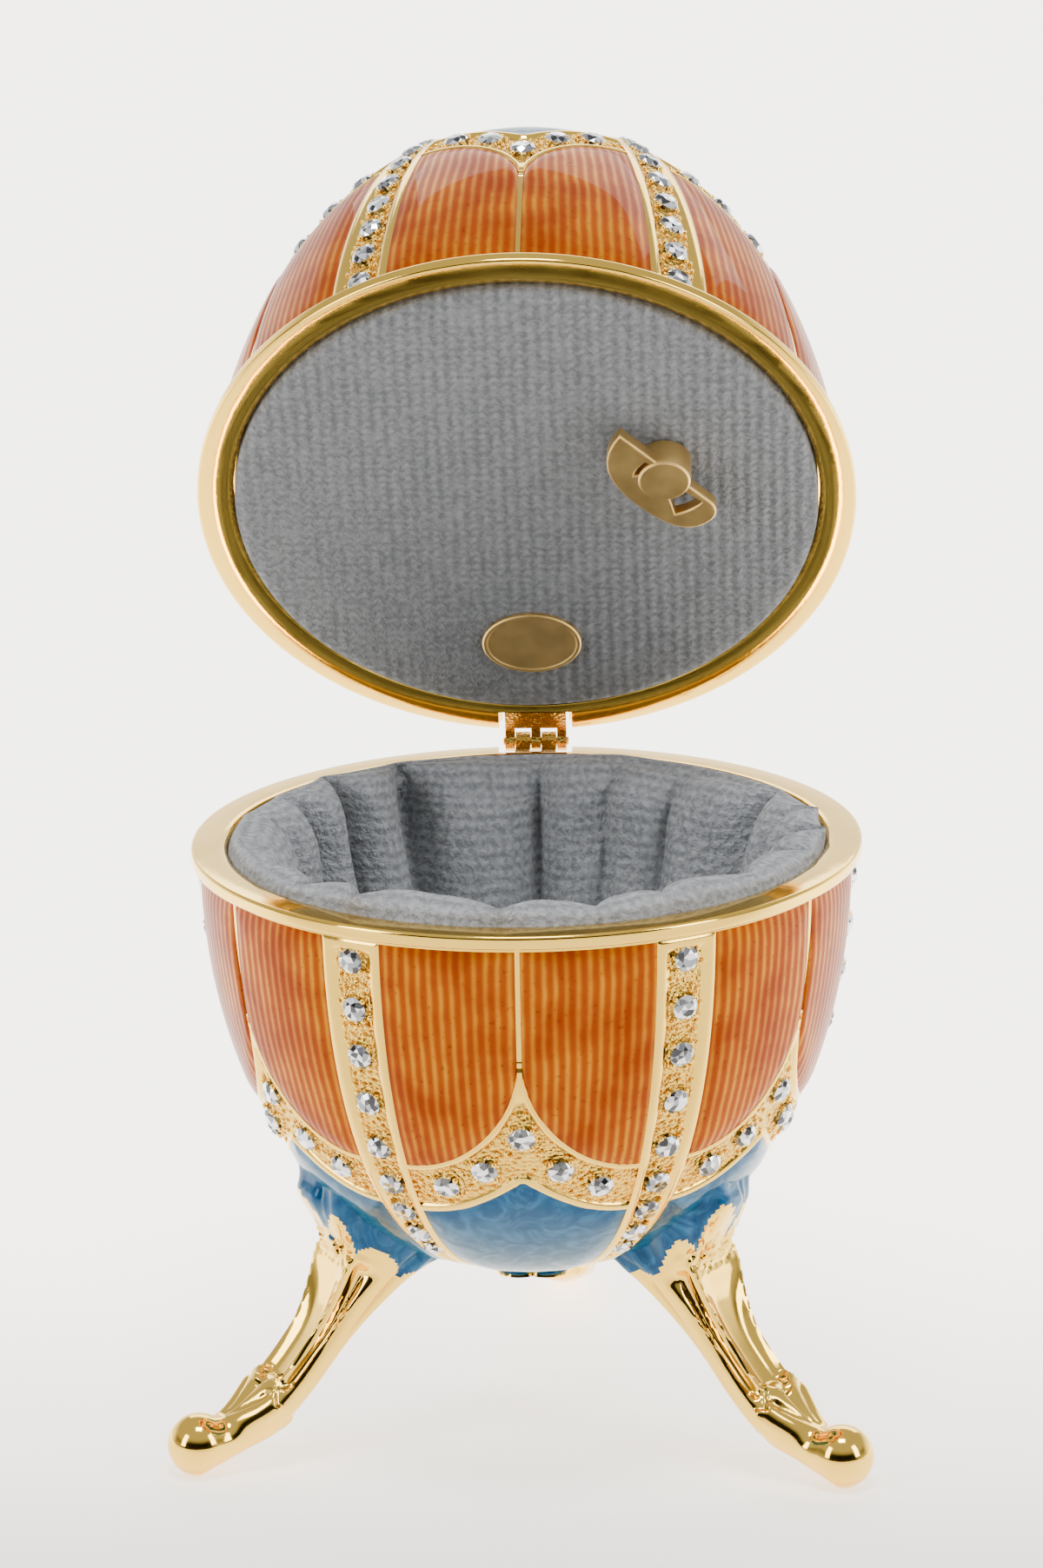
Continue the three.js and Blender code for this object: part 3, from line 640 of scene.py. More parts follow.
def sector_rows(half, across):
    """t of every row above the flange on each column, and the kind of each row."""
    start = t_at_height(half, PANEL_START)
    orange = t_at_height(half, orange_end(half, across))
    blue = t_at_height(half, blue_start(half, across))
    pole = t_at_radius(half, half["pole_radius"])
    rows = []
    rows += [("band", lerp(t_at_height(half, FLANGE_HEIGHT), start, x)) for x in (0, 0.5, 1)]
    rows += [("orange", lerp(start, orange, x)) for x in eased(ORANGE_ROWS)]
    rows += [("arch", lerp(orange, blue, x)) for x in eased(ARCH_ROWS)]
    rows += [("blue", lerp(blue, pole, x)) for x in eased(BLUE_ROWS)]
    rows += [("pole", lerp(pole, 0.985, x)) for x in (0, 0.25, 0.5, 0.75, 1)]
    return [kind for kind, _ in rows], np.stack([t + 0 * across for _, t in rows])


def away_from(points, curve):
    """Distance of each point to the nearest point of a dense curve."""
    apart = points.reshape(-1, 3)[:, None] - curve[None]
    return np.min(np.linalg.norm(apart, axis=2), axis=1).reshape(points.shape[:-1])


def relief(distance, rail):
    """The metal's height at a distance from a cell: a rounded border, then the channel."""
    border = RAIL_CREST * np.sin(math.pi * np.clip(distance / rail, 0, 1)) ** 0.8
    return border - CHANNEL_DEPTH * smoothstep((distance - rail) / 0.25)


def sector_skin(half):
    """One sector of the cast surface: points, and 1 where the channel is grained."""
    columns = sector_columns()
    side, across, share, in_orange, in_blue = columns.T
    kinds, t = sector_rows(half, across)
    angle = panel_angle(half, side, across, t)
    angle = np.where(share > 0, RIB_EDGE + share * 2 * RIB_HALF, angle)
    base = surface(half, angle, t, 0)
    kinds = np.array(kinds)[:, None]

    curves = []
    x = np.linspace(0, 1, 140)
    for sign in (-1, 1):
        for edge in (orange_end, blue_start):
            at = t_at_height(half, edge(half, x))
            curves.append(surface(half, panel_angle(half, sign, x, at), at, 0))
    arch = away_from(base, np.concatenate(curves))

    radius = profile(half, t)[0]
    rib = radius * RIB_HALF * (1 - np.abs(2 * share - 1))
    rib = np.minimum(rib, np.maximum(base[..., 2] - PANEL_START, 0))
    is_rib = share > 0
    out = np.where(is_rib, relief(rib, RIB_RAIL), 0.0)
    in_arch = (kinds == "arch") & ~is_rib
    out = np.where(in_arch, relief(arch, ARCH_RAIL), out)
    sunk = ((kinds == "orange") & (in_orange > 0)) | ((kinds == "blue") & (in_blue > 0))
    out = np.where(sunk, -CELL_DEPTH, out)
    grained = (is_rib & (rib > RIB_RAIL + 0.1)) | (in_arch & (arch > ARCH_RAIL + 0.1))
    return surface(half, angle, t, out), angle, grained


def turned_rings(pairs, angles):
    """Rings through (radius, height) pairs at the given angles."""
    return np.array([[(r * math.cos(a), r * math.sin(a), h) for a in angles] for r, h in pairs])


def inside_pairs(half, mouth, start, steps=14):
    """The wall's inside from the pole out to the mouth."""
    t = np.linspace(0.99, t_at_height(half, start), steps)
    r, h, nr, nh = profile(half, t)
    return [(min(a, mouth), b) for a, b in zip(np.maximum(r - WALL * nr, 0.4), h - WALL * nh)]


def flange_pairs(half):
    """The rounded edge of the rim, from its land to the cast surface."""
    pairs = []
    for middle, start in ((FLANGE_ROUND, -90), (FLANGE_HEIGHT - FLANGE_ROUND, 0)):
        for turn in (0, 22.5, 45, 67.5, 90):
            a = math.radians(start + turn)
            r = half["flange"] - FLANGE_ROUND + FLANGE_ROUND * math.cos(a)
            pairs.append((r, middle + FLANGE_ROUND * math.sin(a)))
    return pairs


def casting(prefix, half, place, body, inside, hinge_side):
    """The cast half: inside pairs from the pole to the rim, then the flange and the ornament."""
    skin, angle, grained = sector_skin(half)
    sectors = []
    for k in range(SECTORS):
        sectors.append(skin @ turned(2, 90 + k * 360 / SECTORS).T)
    outer = np.concatenate(sectors, 1)
    rims = []
    for k in range(SECTORS):
        rims.append(angle[0] + math.pi / 2 + k * 2 * math.pi / SECTORS)
    inner = turned_rings(inside + flange_pairs(half), np.concatenate(rims))
    rings = np.concatenate([inner, outer])
    marks = np.zeros(rings.shape[:2], bool)
    marks[len(inner):] = np.concatenate([grained] * SECTORS, 1)
    corner = marks[:-1] & marks[1:]
    corner &= np.roll(corner, -1, 1)
    form = Form()
    form.tube(rings, corner.ravel().astype(int))
    finishes = [GOLD, GRAINED]
    piece = make(f"{prefix}_cast", form, place, body, finishes, [f"{prefix}_casting"])
    cut_notch(piece, half, place, hinge_side)
    piece.data.set_sharp_from_angle(angle=math.radians(CREASE_DEG))


def cut_notch(piece, half, place, side):
    """Cuts the hinge's notch, with rounded shoulders, into the rim."""
    inner = half["flange"] - NOTCH_DEPTH
    outer = half["flange"] + 2
    corner = 0.7
    wide = NOTCH_WIDTH / 2
    outline = [(-wide, -1.0), (-wide, NOTCH_HEIGHT - corner)]
    for turn in (30, 60, 90):
        a = math.radians(turn)
        side_gap, top_gap = corner * (1 - math.cos(a)), corner * (1 - math.sin(a))
        outline.append((-wide + side_gap, NOTCH_HEIGHT - top_gap))
    outline += [(-x, z) for x, z in outline[::-1]]
    near, far = (inner, outer) if side > 0 else (-outer, -inner)
    rings = np.array([[(x, y, z) for x, z in outline] for y in (near, far)])
    form = Form()
    form.tube(rings)
    cutter = make("notch_cutter", form, place, "base", [GOLD])
    cut = piece.modifiers.new("notch", "BOOLEAN")
    cut.operation = "DIFFERENCE"
    cut.solver = "EXACT"
    cut.object = cutter
    apply_modifiers(piece)
    bpy.data.objects.remove(cutter)


def bowl_casting():
    mouth = BOWL["flange"] - RIM_LAND
    edge = [(mouth, 1.2), (mouth, 0.5), (mouth + 0.12, 0.2)]
    edge += [(mouth + 0.35, 0.03), (mouth + 0.8, 0.0)]
    inside = inside_pairs(BOWL, mouth, 10) + edge
    casting("bowl", BOWL, BOWL_PLACE, "base", inside, -1)


def lid_casting():
    bore = PAD_RADIUS + PAD_GAP
    seat = PAD_THICKNESS + PAD_GAP - PAD_PROUD
    land = LID["flange"] - LID_LAND
    back = seat + LEDGE_HEIGHT
    ledge = [(bore - LEDGE_WIDTH, back), (bore - LEDGE_WIDTH, seat), (bore, seat)]
    cove = []
    for turn in np.linspace(90, 0, 9):
        a = math.radians(turn)
        cove.append((land - (land - bore) * math.sin(a), COVE_DEPTH * (1 - math.cos(a))))
    inside = inside_pairs(LID, bore - LEDGE_WIDTH, back + 1.5) + ledge + cove
    casting("lid", LID, LID_PLACE, "lid", inside, 1)


# Enamel


def dome(distance):
    """Enamel's height above its edge, by the distance from it."""
    return ENAMEL_CROWN * (1 - (1 - np.clip(distance / 2.6, 0, 1)) ** 2) - 0.02


def enamel(name, half, place, body, finish, patches, replaces, sink=0.0):
    """Domed enamel in each patch of each sector; a patch gives angles and t on a grid.

    sink lowers its top, in millimetres.
    """
    form = Form()
    for angle, t in patches:
        flat = surface(half, angle, t, 0)
        steps = np.linalg.norm(np.diff(flat, axis=0, prepend=flat[:1]), axis=2)
        along = np.cumsum(steps, axis=0)
        steps = np.linalg.norm(np.diff(flat, axis=1, prepend=flat[:, :1]), axis=2)
        over = np.cumsum(steps, axis=1)
        edge = np.minimum(along, along[-1] - along)
        edge = np.minimum(edge, np.minimum(over, over[:, -1:] - over))
        top = surface(half, angle, t, dome(edge) - sink)
        bottom = surface(half, angle, t, -CELL_DEPTH + 0.02)
        pattern = np.stack([angle * half["radius"] * np.ones_like(t), along], -1)
        for k in range(SECTORS):
            spin = turned(2, 90 + k * 360 / SECTORS).T
            form.slab(top @ spin, bottom @ spin, pattern + k * 7.3)
    make(name, form, place, body, [finish], replaces)


def orange_panels(prefix, half, place, body):
    patches = []
    across = eased(PANEL_COLUMNS)
    for side in (-1, 1):
        x = across if side > 0 else across[::-1]
        rows = eased(ORANGE_ROWS)[:, None]
        end = t_at_height(half, orange_end(half, x))
        t = lerp(t_at_height(half, PANEL_START), end, rows)
        patches.append((panel_angle(half, side, x, t), t))
    nodes = [f"{prefix}_orange_enamel_{i + 1}" for i in range(2 * SECTORS)]
    enamel(f"{prefix}_orange", half, place, body, ORANGE, patches, nodes)


def blue_panels(prefix, half, place, body):
    across = eased(PANEL_COLUMNS)
    x = np.concatenate([across[::-1], across])
    side = np.concatenate([-np.ones(len(across)), np.ones(len(across))])
    rows = eased(BLUE_ROWS)[:, None]
    pole = t_at_radius(half, half["pole_radius"])
    t = lerp(t_at_height(half, blue_start(half, x)), pole, rows)
    nodes = [f"{prefix}_blue_enamel_{i + 1}" for i in range(SECTORS)]
    patches = [(panel_angle(half, side, x, t), t)]
    sink = half["blue_sink"]
    enamel(f"{prefix}_blue", half, place, body, BLUE, patches, nodes, sink)


# Stones and beads


def stone_places(half):
    """(angle, t, radius) of every stone on a half."""
    places = []
    for k in range(SECTORS):
        middle = math.pi / 2 + k * 2 * math.pi / SECTORS
        rib = middle + math.pi / SECTORS
        for depth in half["rib_stones"]:
            t = float(t_at_height(half, depth))
            room = float(profile(half, t)[0]) * RIB_HALF - 0.5 * RIB_RAIL - 0.25
            places.append((rib, t, min(STONE_RADIUS, max(room, 0.45))))
        places.append((middle, float(t_at_height(half, half["arch_stone"])), STONE_RADIUS))
        for offset in (7.8, 16.6):
            across = offset / math.degrees(RIB_EDGE)
            ends = [t_at_height(half, edge(half, across)) for edge in (orange_end, blue_start)]
            t = float(lerp(ends[0], ends[1], 0.47))
            for side in (-1, 1):
                places.append((middle + side * math.radians(offset), t, STONE_RADIUS))
    return places


def stone_axes(half, angle, t):
    """A stone's origin on the half's surface and its axes: east, up the half and out."""
    r, h, nr, nh = (float(v) for v in profile(half, t))
    out = np.array([nr * math.cos(angle), nr * math.sin(angle), nh])
    east = np.array([-math.sin(angle), math.cos(angle), 0.0])
    origin = np.array([r * math.cos(angle), r * math.sin(angle), h])
    return origin, np.array([east, np.cross(out, east), out])


def cut_stone():
    """A foiled round brilliant of radius 1: an eight-sided table, its crown and a short base."""

    def ring(count, r, z):
        turns = np.linspace(0, 2 * math.pi, count + 1)[:-1]
        return [(r * math.cos(a), r * math.sin(a), z) for a in turns]

    half_turned = np.array(ring(8, 0.80, 0.25)) @ turned(2, 22.5).T
    points = ring(8, 0.56, 0.38) + half_turned.tolist() + ring(16, 1.0, 0.02) + ring(16, 0.9, -0.3)
    points += [(0, 0, 0.36), (0, 0, -0.3)]
    faces = []
    for i in range(8):
        after = (i + 1) % 8
        before = (i - 1) % 8
        table, star, girdle = i, 8 + i, 16 + 2 * i
        faces.append([48, table, after])
        faces.append([table, star, after])
        faces.append([table, 8 + before, girdle, star])
        faces.append([star, girdle, girdle + 1])
        faces.append([star, girdle + 1, 16 + (2 * i + 2) % 16])
    for i in range(16):
        after = (i + 1) % 16
        faces.append([16 + i, 32 + i, 32 + after, 16 + after])
        faces.append([49, 32 + after, 32 + i])
    return np.array(points, float), faces


def bead_shape():
    """A round-topped bead of radius 1 that stands on its middle."""
    pairs = [(math.sqrt(1 - height**2), height) for height in (-0.5, 0.0, 0.5, 0.87)]
    return turned_rings(pairs, np.linspace(0, 2 * math.pi, 9)[:-1])


def setting(prefix, half, place, body):
    """Stones and beads of one half."""
    rng = np.random.default_rng(SEED)
    stones, beads = Form(), Form()
    points, faces = cut_stone()
    bead = bead_shape()
    for angle, t, radius in stone_places(half):
        origin, axes = stone_axes(half, angle, t)
        spin = turned(2, rng.uniform(0, 45)).T
        lift = origin + axes[2] * 0.02
        # each facet gets one painted reflection at random: bright, grey or dark
        lights = rng.choice(3, len(faces), p=(0.42, 0.34, 0.24))
        stones.add((points @ spin @ axes) * radius + lift, faces, lights)
        for turn in (45, 135, 225, 315):
            a = math.radians(turn + rng.uniform(-6, 6))
            spot = np.array([math.cos(a), math.sin(a), 0]) * (radius + 0.12)
            size = BEAD_RADIUS * rng.uniform(0.85, 1.15) * (0.6 + 0.4 * radius / STONE_RADIUS)
            beads.tube((bead @ axes) * size + origin + (spot + np.array([0, 0, -0.08])) @ axes)
    for angle, t in grain_places(half, rng):
        origin, axes = stone_axes(half, angle, t)
        size = rng.uniform(0.18, 0.3)
        beads.tube((bead @ axes) * size + origin - axes[2] * CHANNEL_DEPTH * 0.8)
    make(f"{prefix}_crystals", stones, place, body, FACETS, crease=1.0)
    make(f"{prefix}_beads", beads, place, body, [GOLD], crease=80.0)


def grain_places(half, rng):
    """Scattered places for small cast grains in the channels, clear of the stones."""
    stones = [(surface(half, a, t, 0), r) for a, t, r in stone_places(half)]
    middles = np.array([p for p, _ in stones])
    radii = np.array([r for _, r in stones])
    taken = []
    places = []
    for _ in range(GRAIN_TRIES):
        k = rng.integers(SECTORS)
        middle = math.pi / 2 + k * 2 * math.pi / SECTORS
        if rng.random() < 0.55:
            t = rng.uniform(t_at_height(half, PANEL_START + 1.1), t_at_radius(half, 11.0))
            r = float(profile(half, t)[0])
            room = RIB_HALF - (RIB_RAIL + 0.25) / r
            angle = middle + math.pi / SECTORS + rng.uniform(-1, 1) * max(room, 0)
        else:
            across = rng.uniform(0, 1)
            edges = (orange_end(half, across), blue_start(half, across))
            ends = [float(t_at_height(half, height)) for height in edges]
            t = rng.uniform(*ends)
            angle = middle + rng.choice((-1, 1)) * float(panel_angle(half, 1, across, t))
            if not in_channel(half, across, t):
                continue
        point = surface(half, angle, t, 0)
        if np.any(np.linalg.norm(middles - point, axis=1) < radii + 0.3):
            continue
        if taken and np.min(np.linalg.norm(np.array(taken) - point, axis=1)) < 0.55:
            continue
        taken.append(point)
        places.append((angle, t))
    return places


def in_channel(half, across, t):
    """Whether a point of an arch is clear of the arch's borders."""
    x = np.linspace(0, 1, 60)
    point = surface(half, panel_angle(half, 1, across, t), t, 0)
    for edge in (orange_end, blue_start):
        at = t_at_height(half, edge(half, x))
        curve = surface(half, panel_angle(half, 1, x, at), at, 0)
        if np.min(np.linalg.norm(curve - point, axis=1)) < ARCH_RAIL + 0.3:
            return False
    return True


# Rosettes


def cup_ring(angles, share, height, base):
    """A level of the rosette's lobed cup, by its share of the radius and of the height."""
    lobes = 0.84 + 0.16 * np.abs(np.cos(ROSETTE_PETALS * angles / 2)) ** 0.7
    r = ROSETTE_RADIUS * share * lobes
    z = base + ROSETTE_HEIGHT * height * (0.85 + 0.15 * lobes)
    return np.stack([r * np.cos(angles), r * np.sin(angles), z + 0 * r], -1)


def rosette(prefix, half, place, body):
    """A gold flower cup with enamel on the outside of its six petals."""
    base = half["height"]
    side = [(0.60, -0.6), (0.64, 0.0), (0.82, 0.3), (0.94, 0.62), (0.99, 0.88)]
    rim = [(1.0, 0.97), (0.95, 1.02), (0.86, 0.92), (0.5, 0.74), (0.1, 0.68)]
    angles = np.linspace(0, 2 * math.pi, 145)[:-1]
    gold = Form()
    gold.tube(np.array([cup_ring(angles, share, height, base) for share, height in side + rim]))
    make(f"{prefix}_calyx", gold, place, body, [GOLD], [f"{prefix}_rosette"])

    petals = Form()
    shares, heights = np.array(side).T
    levels = np.linspace(0.04, 0.84, 12)
    spread = np.linspace(-1, 1, 17)
    crown = 0.14 * np.sqrt(1 - spread**2)
    for k in range(ROSETTE_PETALS):
        turn = spread * math.radians(24) + k * 2 * math.pi / ROSETTE_PETALS
        outside, inside = [], []
        for height in levels:
            share = np.interp(height, heights, shares)
            swell = crown * math.sqrt(max(0.0, 1 - (2 * (height - 0.44) / 0.8) ** 2))
            outside.append(cup_ring(turn, share + (swell - 0.01) / ROSETTE_RADIUS, height, base))
            inside.append(cup_ring(turn, share - 0.06, height, base))
        petals.slab(np.array(outside), np.array(inside))
    make(f"{prefix}_petals", petals, place, body, [BLUE])


# Legs

LEG_ROOT_DEPTH = float(profile(BOWL, t_at_radius(BOWL, LEG_ROOT_RADIUS))[1])
FOOT_DEPTH = RIM_CENTRE[2] - FOOT_RADIUS + FOOT_FLAT
LEG_SIDES = 96
LEG_RINGS = 150  # from the root to the foot
BALL_RINGS = 16
NECK = slice(115, 154)  # rings where the strap runs into the ball
NECK_PASSES = 60


def leg_point(reach):
    out = lerp(LEG_ROOT_RADIUS, FOOT_OUT, reach)
    depth = lerp(LEG_ROOT_DEPTH, FOOT_DEPTH, 1 - (1 - reach) ** LEG_SWEEP)
    return np.array([out, 0.0, -depth])


def flare(reach, root, strap):
    return strap + (root - strap) * max(0.0, 1 - reach / FLARE_LENGTH) ** 2


def leg_ring(middle, along, thickness, width, carve, reach):
    """One section: a rounded strap whose outer face is carved."""
    across = np.array([0.0, -1.0, 0.0])
    outward = np.cross(across, along)
    outward /= np.linalg.norm(outward)
    power = lerp(1.0, 0.72, carve)
    a = np.linspace(0, 2 * math.pi, LEG_SIDES + 1)[:-1]
    c = np.sign(np.cos(a)) * np.abs(np.cos(a)) ** power
    s = np.sign(np.sin(a)) * np.abs(np.sin(a)) ** power
    relief = leg_carving(reach, a, s, c)
    points = middle + (thickness * c)[:, None] * outward + (width * s)[:, None] * across
    normal = (c / thickness)[:, None] * outward + (s / width)[:, None] * across
    normal /= np.linalg.norm(normal, axis=1)[:, None]
    return points + normal * relief[:, None]


def leg_carving(reach, a, s, c):
    """Relief round a section: the curled leaf, its pit, the channels and the ankle leaf."""
    face = smoothstep(c / 0.3)
    down = smoothstep(reach / 0.4)
    body = smoothstep((reach - 0.07) / 0.04) * (1 - smoothstep((reach - 0.50) / 0.06))
    turn = np.degrees(np.abs(np.arctan2(np.sin(a), np.cos(a))))
    outer_at = lerp(80, 50, down)
    middle = np.exp(-((turn / (outer_at - 32)) ** 4))
    outer = np.exp(-(((turn - outer_at) / 12) ** 4))
    ridge = np.exp(-(((turn - outer_at + 21 + 3 * math.sin(9 * reach)) / 5) ** 2))
    out = body * (0.25 * ridge - lerp(1.2, 0.75, down) * (middle + outer))
    flutes = np.abs(np.sin(5 * a)) ** 0.6 - 0.7
    fluted = smoothstep(reach / 0.04) * (1 - smoothstep((reach - 0.1) / 0.35))
    out = out + 0.5 * flutes * (1 - face) * fluted

    root = 1 - smoothstep((reach + 0.03) / 0.12)
    lobes = np.abs(np.sin(3.5 * a + 0.7)) ** 0.7 + 0.35 * np.abs(np.sin(8 * a))
    out = out + root * (0.95 * lobes - 0.75)
    curl = math.exp(-(((reach + 0.015) / 0.035) ** 2))
    out = out + 1.2 * curl * np.exp(-((s / 0.55) ** 2)) * face
    nuggets = 0.4 * np.sin(21 * s) * math.sin(190 * reach) + 0.2 * np.sin(33 * s + 80 * reach)
    pit = math.exp(-(((reach - 0.07) / 0.032) ** 2)) * np.exp(-((turn / 62) ** 4))
    out = out - pit * (1.0 + nuggets)

    fold = np.abs((s * 2.2 + 0.1) % 2 - 1)
    edge = 0.49 + 0.11 * fold + 0.09 * (1 - face)
    leaf = smoothstep((reach - edge) / 0.02) * (1 - smoothstep((reach - 0.56) / 0.30))
    middle_vein = np.exp(-((s / 0.10) ** 2))
    side_vein = np.exp(-(((np.abs(s) - 2.4 * (0.86 - reach)) / 0.12) ** 2))
    out = out + leaf * 0.62
    veined = smoothstep((reach - 0.56) / 0.05) * (1 - smoothstep((reach - 0.74) / 0.12)) * face
    out = out - veined * (0.5 * middle_vein + 0.45 * side_vein)
    return out


def egg_share(points):
    """Distance from the rim's middle, as a share of the way to the bowl's surface."""
    r = np.hypot(points[..., 0], points[..., 1])
    depth = -points[..., 2]
    size = (np.maximum(r, 1e-6) / BOWL["radius"]) ** BOWL["belly"]
    size += (np.maximum(depth, 1e-6) / BOWL["height"]) ** BOWL["shoulder"]
    return size ** (1 / 2.2)


def clear_of_egg(points):
    """Points inside the bowl are brought to just under its surface."""
    share = egg_share(points)
    return points * np.where(share < LEG_SUNK, LEG_SUNK / share, 1.0)[..., None]


def enamelled(rings):
    """1 for each face of the leg between the egg and the lobed edge of its leaf."""
    clearance = (egg_share(rings) - 1) * np.linalg.norm(rings, axis=2)
    turn = np.linspace(0, 2 * math.pi, LEG_SIDES + 1)[:-1]
    lobes = np.abs(np.sin(3.5 * turn + 0.7)) ** 0.7
    corner = clearance < LEG_ENAMEL - LEG_LOBES * lobes
    return corner[:-1].ravel().astype(int)


def leg(name, angle):
    rings = []
    last = 1 - 0.9 * FOOT_RADIUS / (FOOT_OUT - LEG_ROOT_RADIUS)
    for reach in np.linspace(-LEG_ROOT_OVERLAP, last, LEG_RINGS):
        along = leg_point(reach + 0.01) - leg_point(reach - 0.01)
        along /= np.linalg.norm(along)
        ankle = max(0.0, (reach - 0.6) / (last - 0.6))
        blend = smoothstep(ankle)
        width = lerp(flare(reach, FLARE_WIDTH, STRAP_WIDTH), 0.76 * FOOT_RADIUS, blend)
        thickness = flare(reach, FLARE_THICKNESS, STRAP_THICKNESS)
        thickness = lerp(thickness, 0.70 * FOOT_RADIUS, blend)
        rings.append(leg_ring(leg_point(reach), along, thickness, width, 1 - ankle, reach))
    along = np.array([0.93, 0.0, 0.37])
    for turn in np.linspace(-40, 84, BALL_RINGS):
        size = FOOT_RADIUS * math.cos(math.radians(turn))
        middle = leg_point(1) + along * FOOT_RADIUS * math.sin(math.radians(turn))
        rings.append(leg_ring(middle, along, size, size, 0, 1.0))
    points = np.array(rings)
    for _ in range(NECK_PASSES):
        beside = points[NECK.start - 1 : NECK.stop - 1] + points[NECK.start + 1 : NECK.stop + 1]
        points[NECK] = 0.5 * points[NECK] + 0.25 * beside
    points[..., 2] = np.maximum(points[..., 2], -RIM_CENTRE[2])
    points = clear_of_egg(points)
    form = Form()
    form.tube(points, enamelled(points))
    place = within(EGG_PLACE, turned(2, LEG_TURN_DEG + angle), (0, 0, 0))
    return make(f"{name}_cast", form, place, "base", [GOLD, BLUE], [name], crease=50.0)


# Fabric


def spline(rows, count):
    """count rows of numbers on a smooth curve through the given rows."""
    rows = np.array(rows, float)
    padded = np.concatenate([2 * rows[:1] - rows[1:2], rows, 2 * rows[-1:] - rows[-2:-1]])
    out = []
    for x in np.linspace(0, len(rows) - 1 - 1e-9, count):
        i = int(x)
        u = x - i
        a, b, c, d = padded[i : i + 4]
        square = (2 * a - 5 * b + 4 * c - d) * u**2
        cube = (3 * b - a - 3 * c + d) * u**3
        out.append(0.5 * (2 * b + (c - a) * u + square + cube))
    return np.array(out)


def closed_spline(rings, count):
    """count points round each closed ring of a grid."""
    columns = rings.shape[1]
    looped = np.concatenate([rings[:, -2:], rings, rings[:, :3]], 1).transpose(1, 0, 2)
    share = (count * (columns + 4)) // columns
    fine = spline(looped.reshape(columns + 5, -1), share + 1).reshape(share + 1, len(rings), 3)
    first = round(2 * count / columns)
    return fine[first : first + count].transpose(1, 0, 2)


def puffed(rings, held):
    """The grid swollen by cloth pressure between its held points, at ten times its size."""
    rows, columns = rings.shape[:2]
    scale = 10 * MM
    mesh = bpy.data.meshes.new("puff")
    faces = grid_faces(rows, columns, True).tolist()
    mesh.from_pydata((rings.reshape(-1, 3) * scale).tolist(), [], faces)
    cloth_piece = bpy.data.objects.new("puff", mesh)
    bpy.context.scene.collection.objects.link(cloth_piece)
    group = cloth_piece.vertex_groups.new(name="held")
    group.add([int(i) for i in np.flatnonzero(held.ravel())], 1.0, "REPLACE")
    cloth = cloth_piece.modifiers.new("puff", "CLOTH")
    cloth.settings.vertex_group_mass = "held"
    cloth.settings.use_pressure = True
    cloth.settings.uniform_pressure_force = PUFF_PRESSURE
    cloth.settings.effector_weights.gravity = 0.0
    cloth.settings.bending_stiffness = 0.05
    cloth.point_cache.frame_start = 1
    cloth.point_cache.frame_end = PUFF_FRAMES
    for number in range(1, PUFF_FRAMES + 1):
        bpy.context.scene.frame_set(number)
    shaped = cloth_piece.evaluated_get(bpy.context.evaluated_depsgraph_get()).to_mesh()
    moved = np.empty(rows * columns * 3, np.float32)
    shaped.vertices.foreach_get("co", moved)
    bpy.data.objects.remove(cloth_piece)
    bpy.data.meshes.remove(mesh)
    bpy.context.scene.frame_set(1)
    shift = moved.reshape(rings.shape) / scale - rings
    length = np.linalg.norm(shift, axis=2, keepdims=True)
    return rings + shift * np.minimum(1, PUFF_LIMIT / np.maximum(length, 1e-6))


def inside_bowl(rings, mouth):
    """The lining's points, kept clear of the casting."""
    depth = np.clip(-rings[..., 2], 0, None)
    share = np.clip(1 - ((depth + 0.6) / BOWL["height"]) ** BOWL["shoulder"], 0, 1)
    room = BOWL["radius"] * share ** (1 / BOWL["belly"]) - WALL - 1.5 * LINING_GAP
    room = np.minimum(mouth, room)
    length = np.maximum(np.hypot(rings[..., 0], rings[..., 1]), 1e-6)
    shrink = np.where(depth < BOWL["height"] * 0.75, np.minimum(1, room / length), 1)
    return rings * np.stack([shrink, shrink, np.ones_like(shrink)], -1)


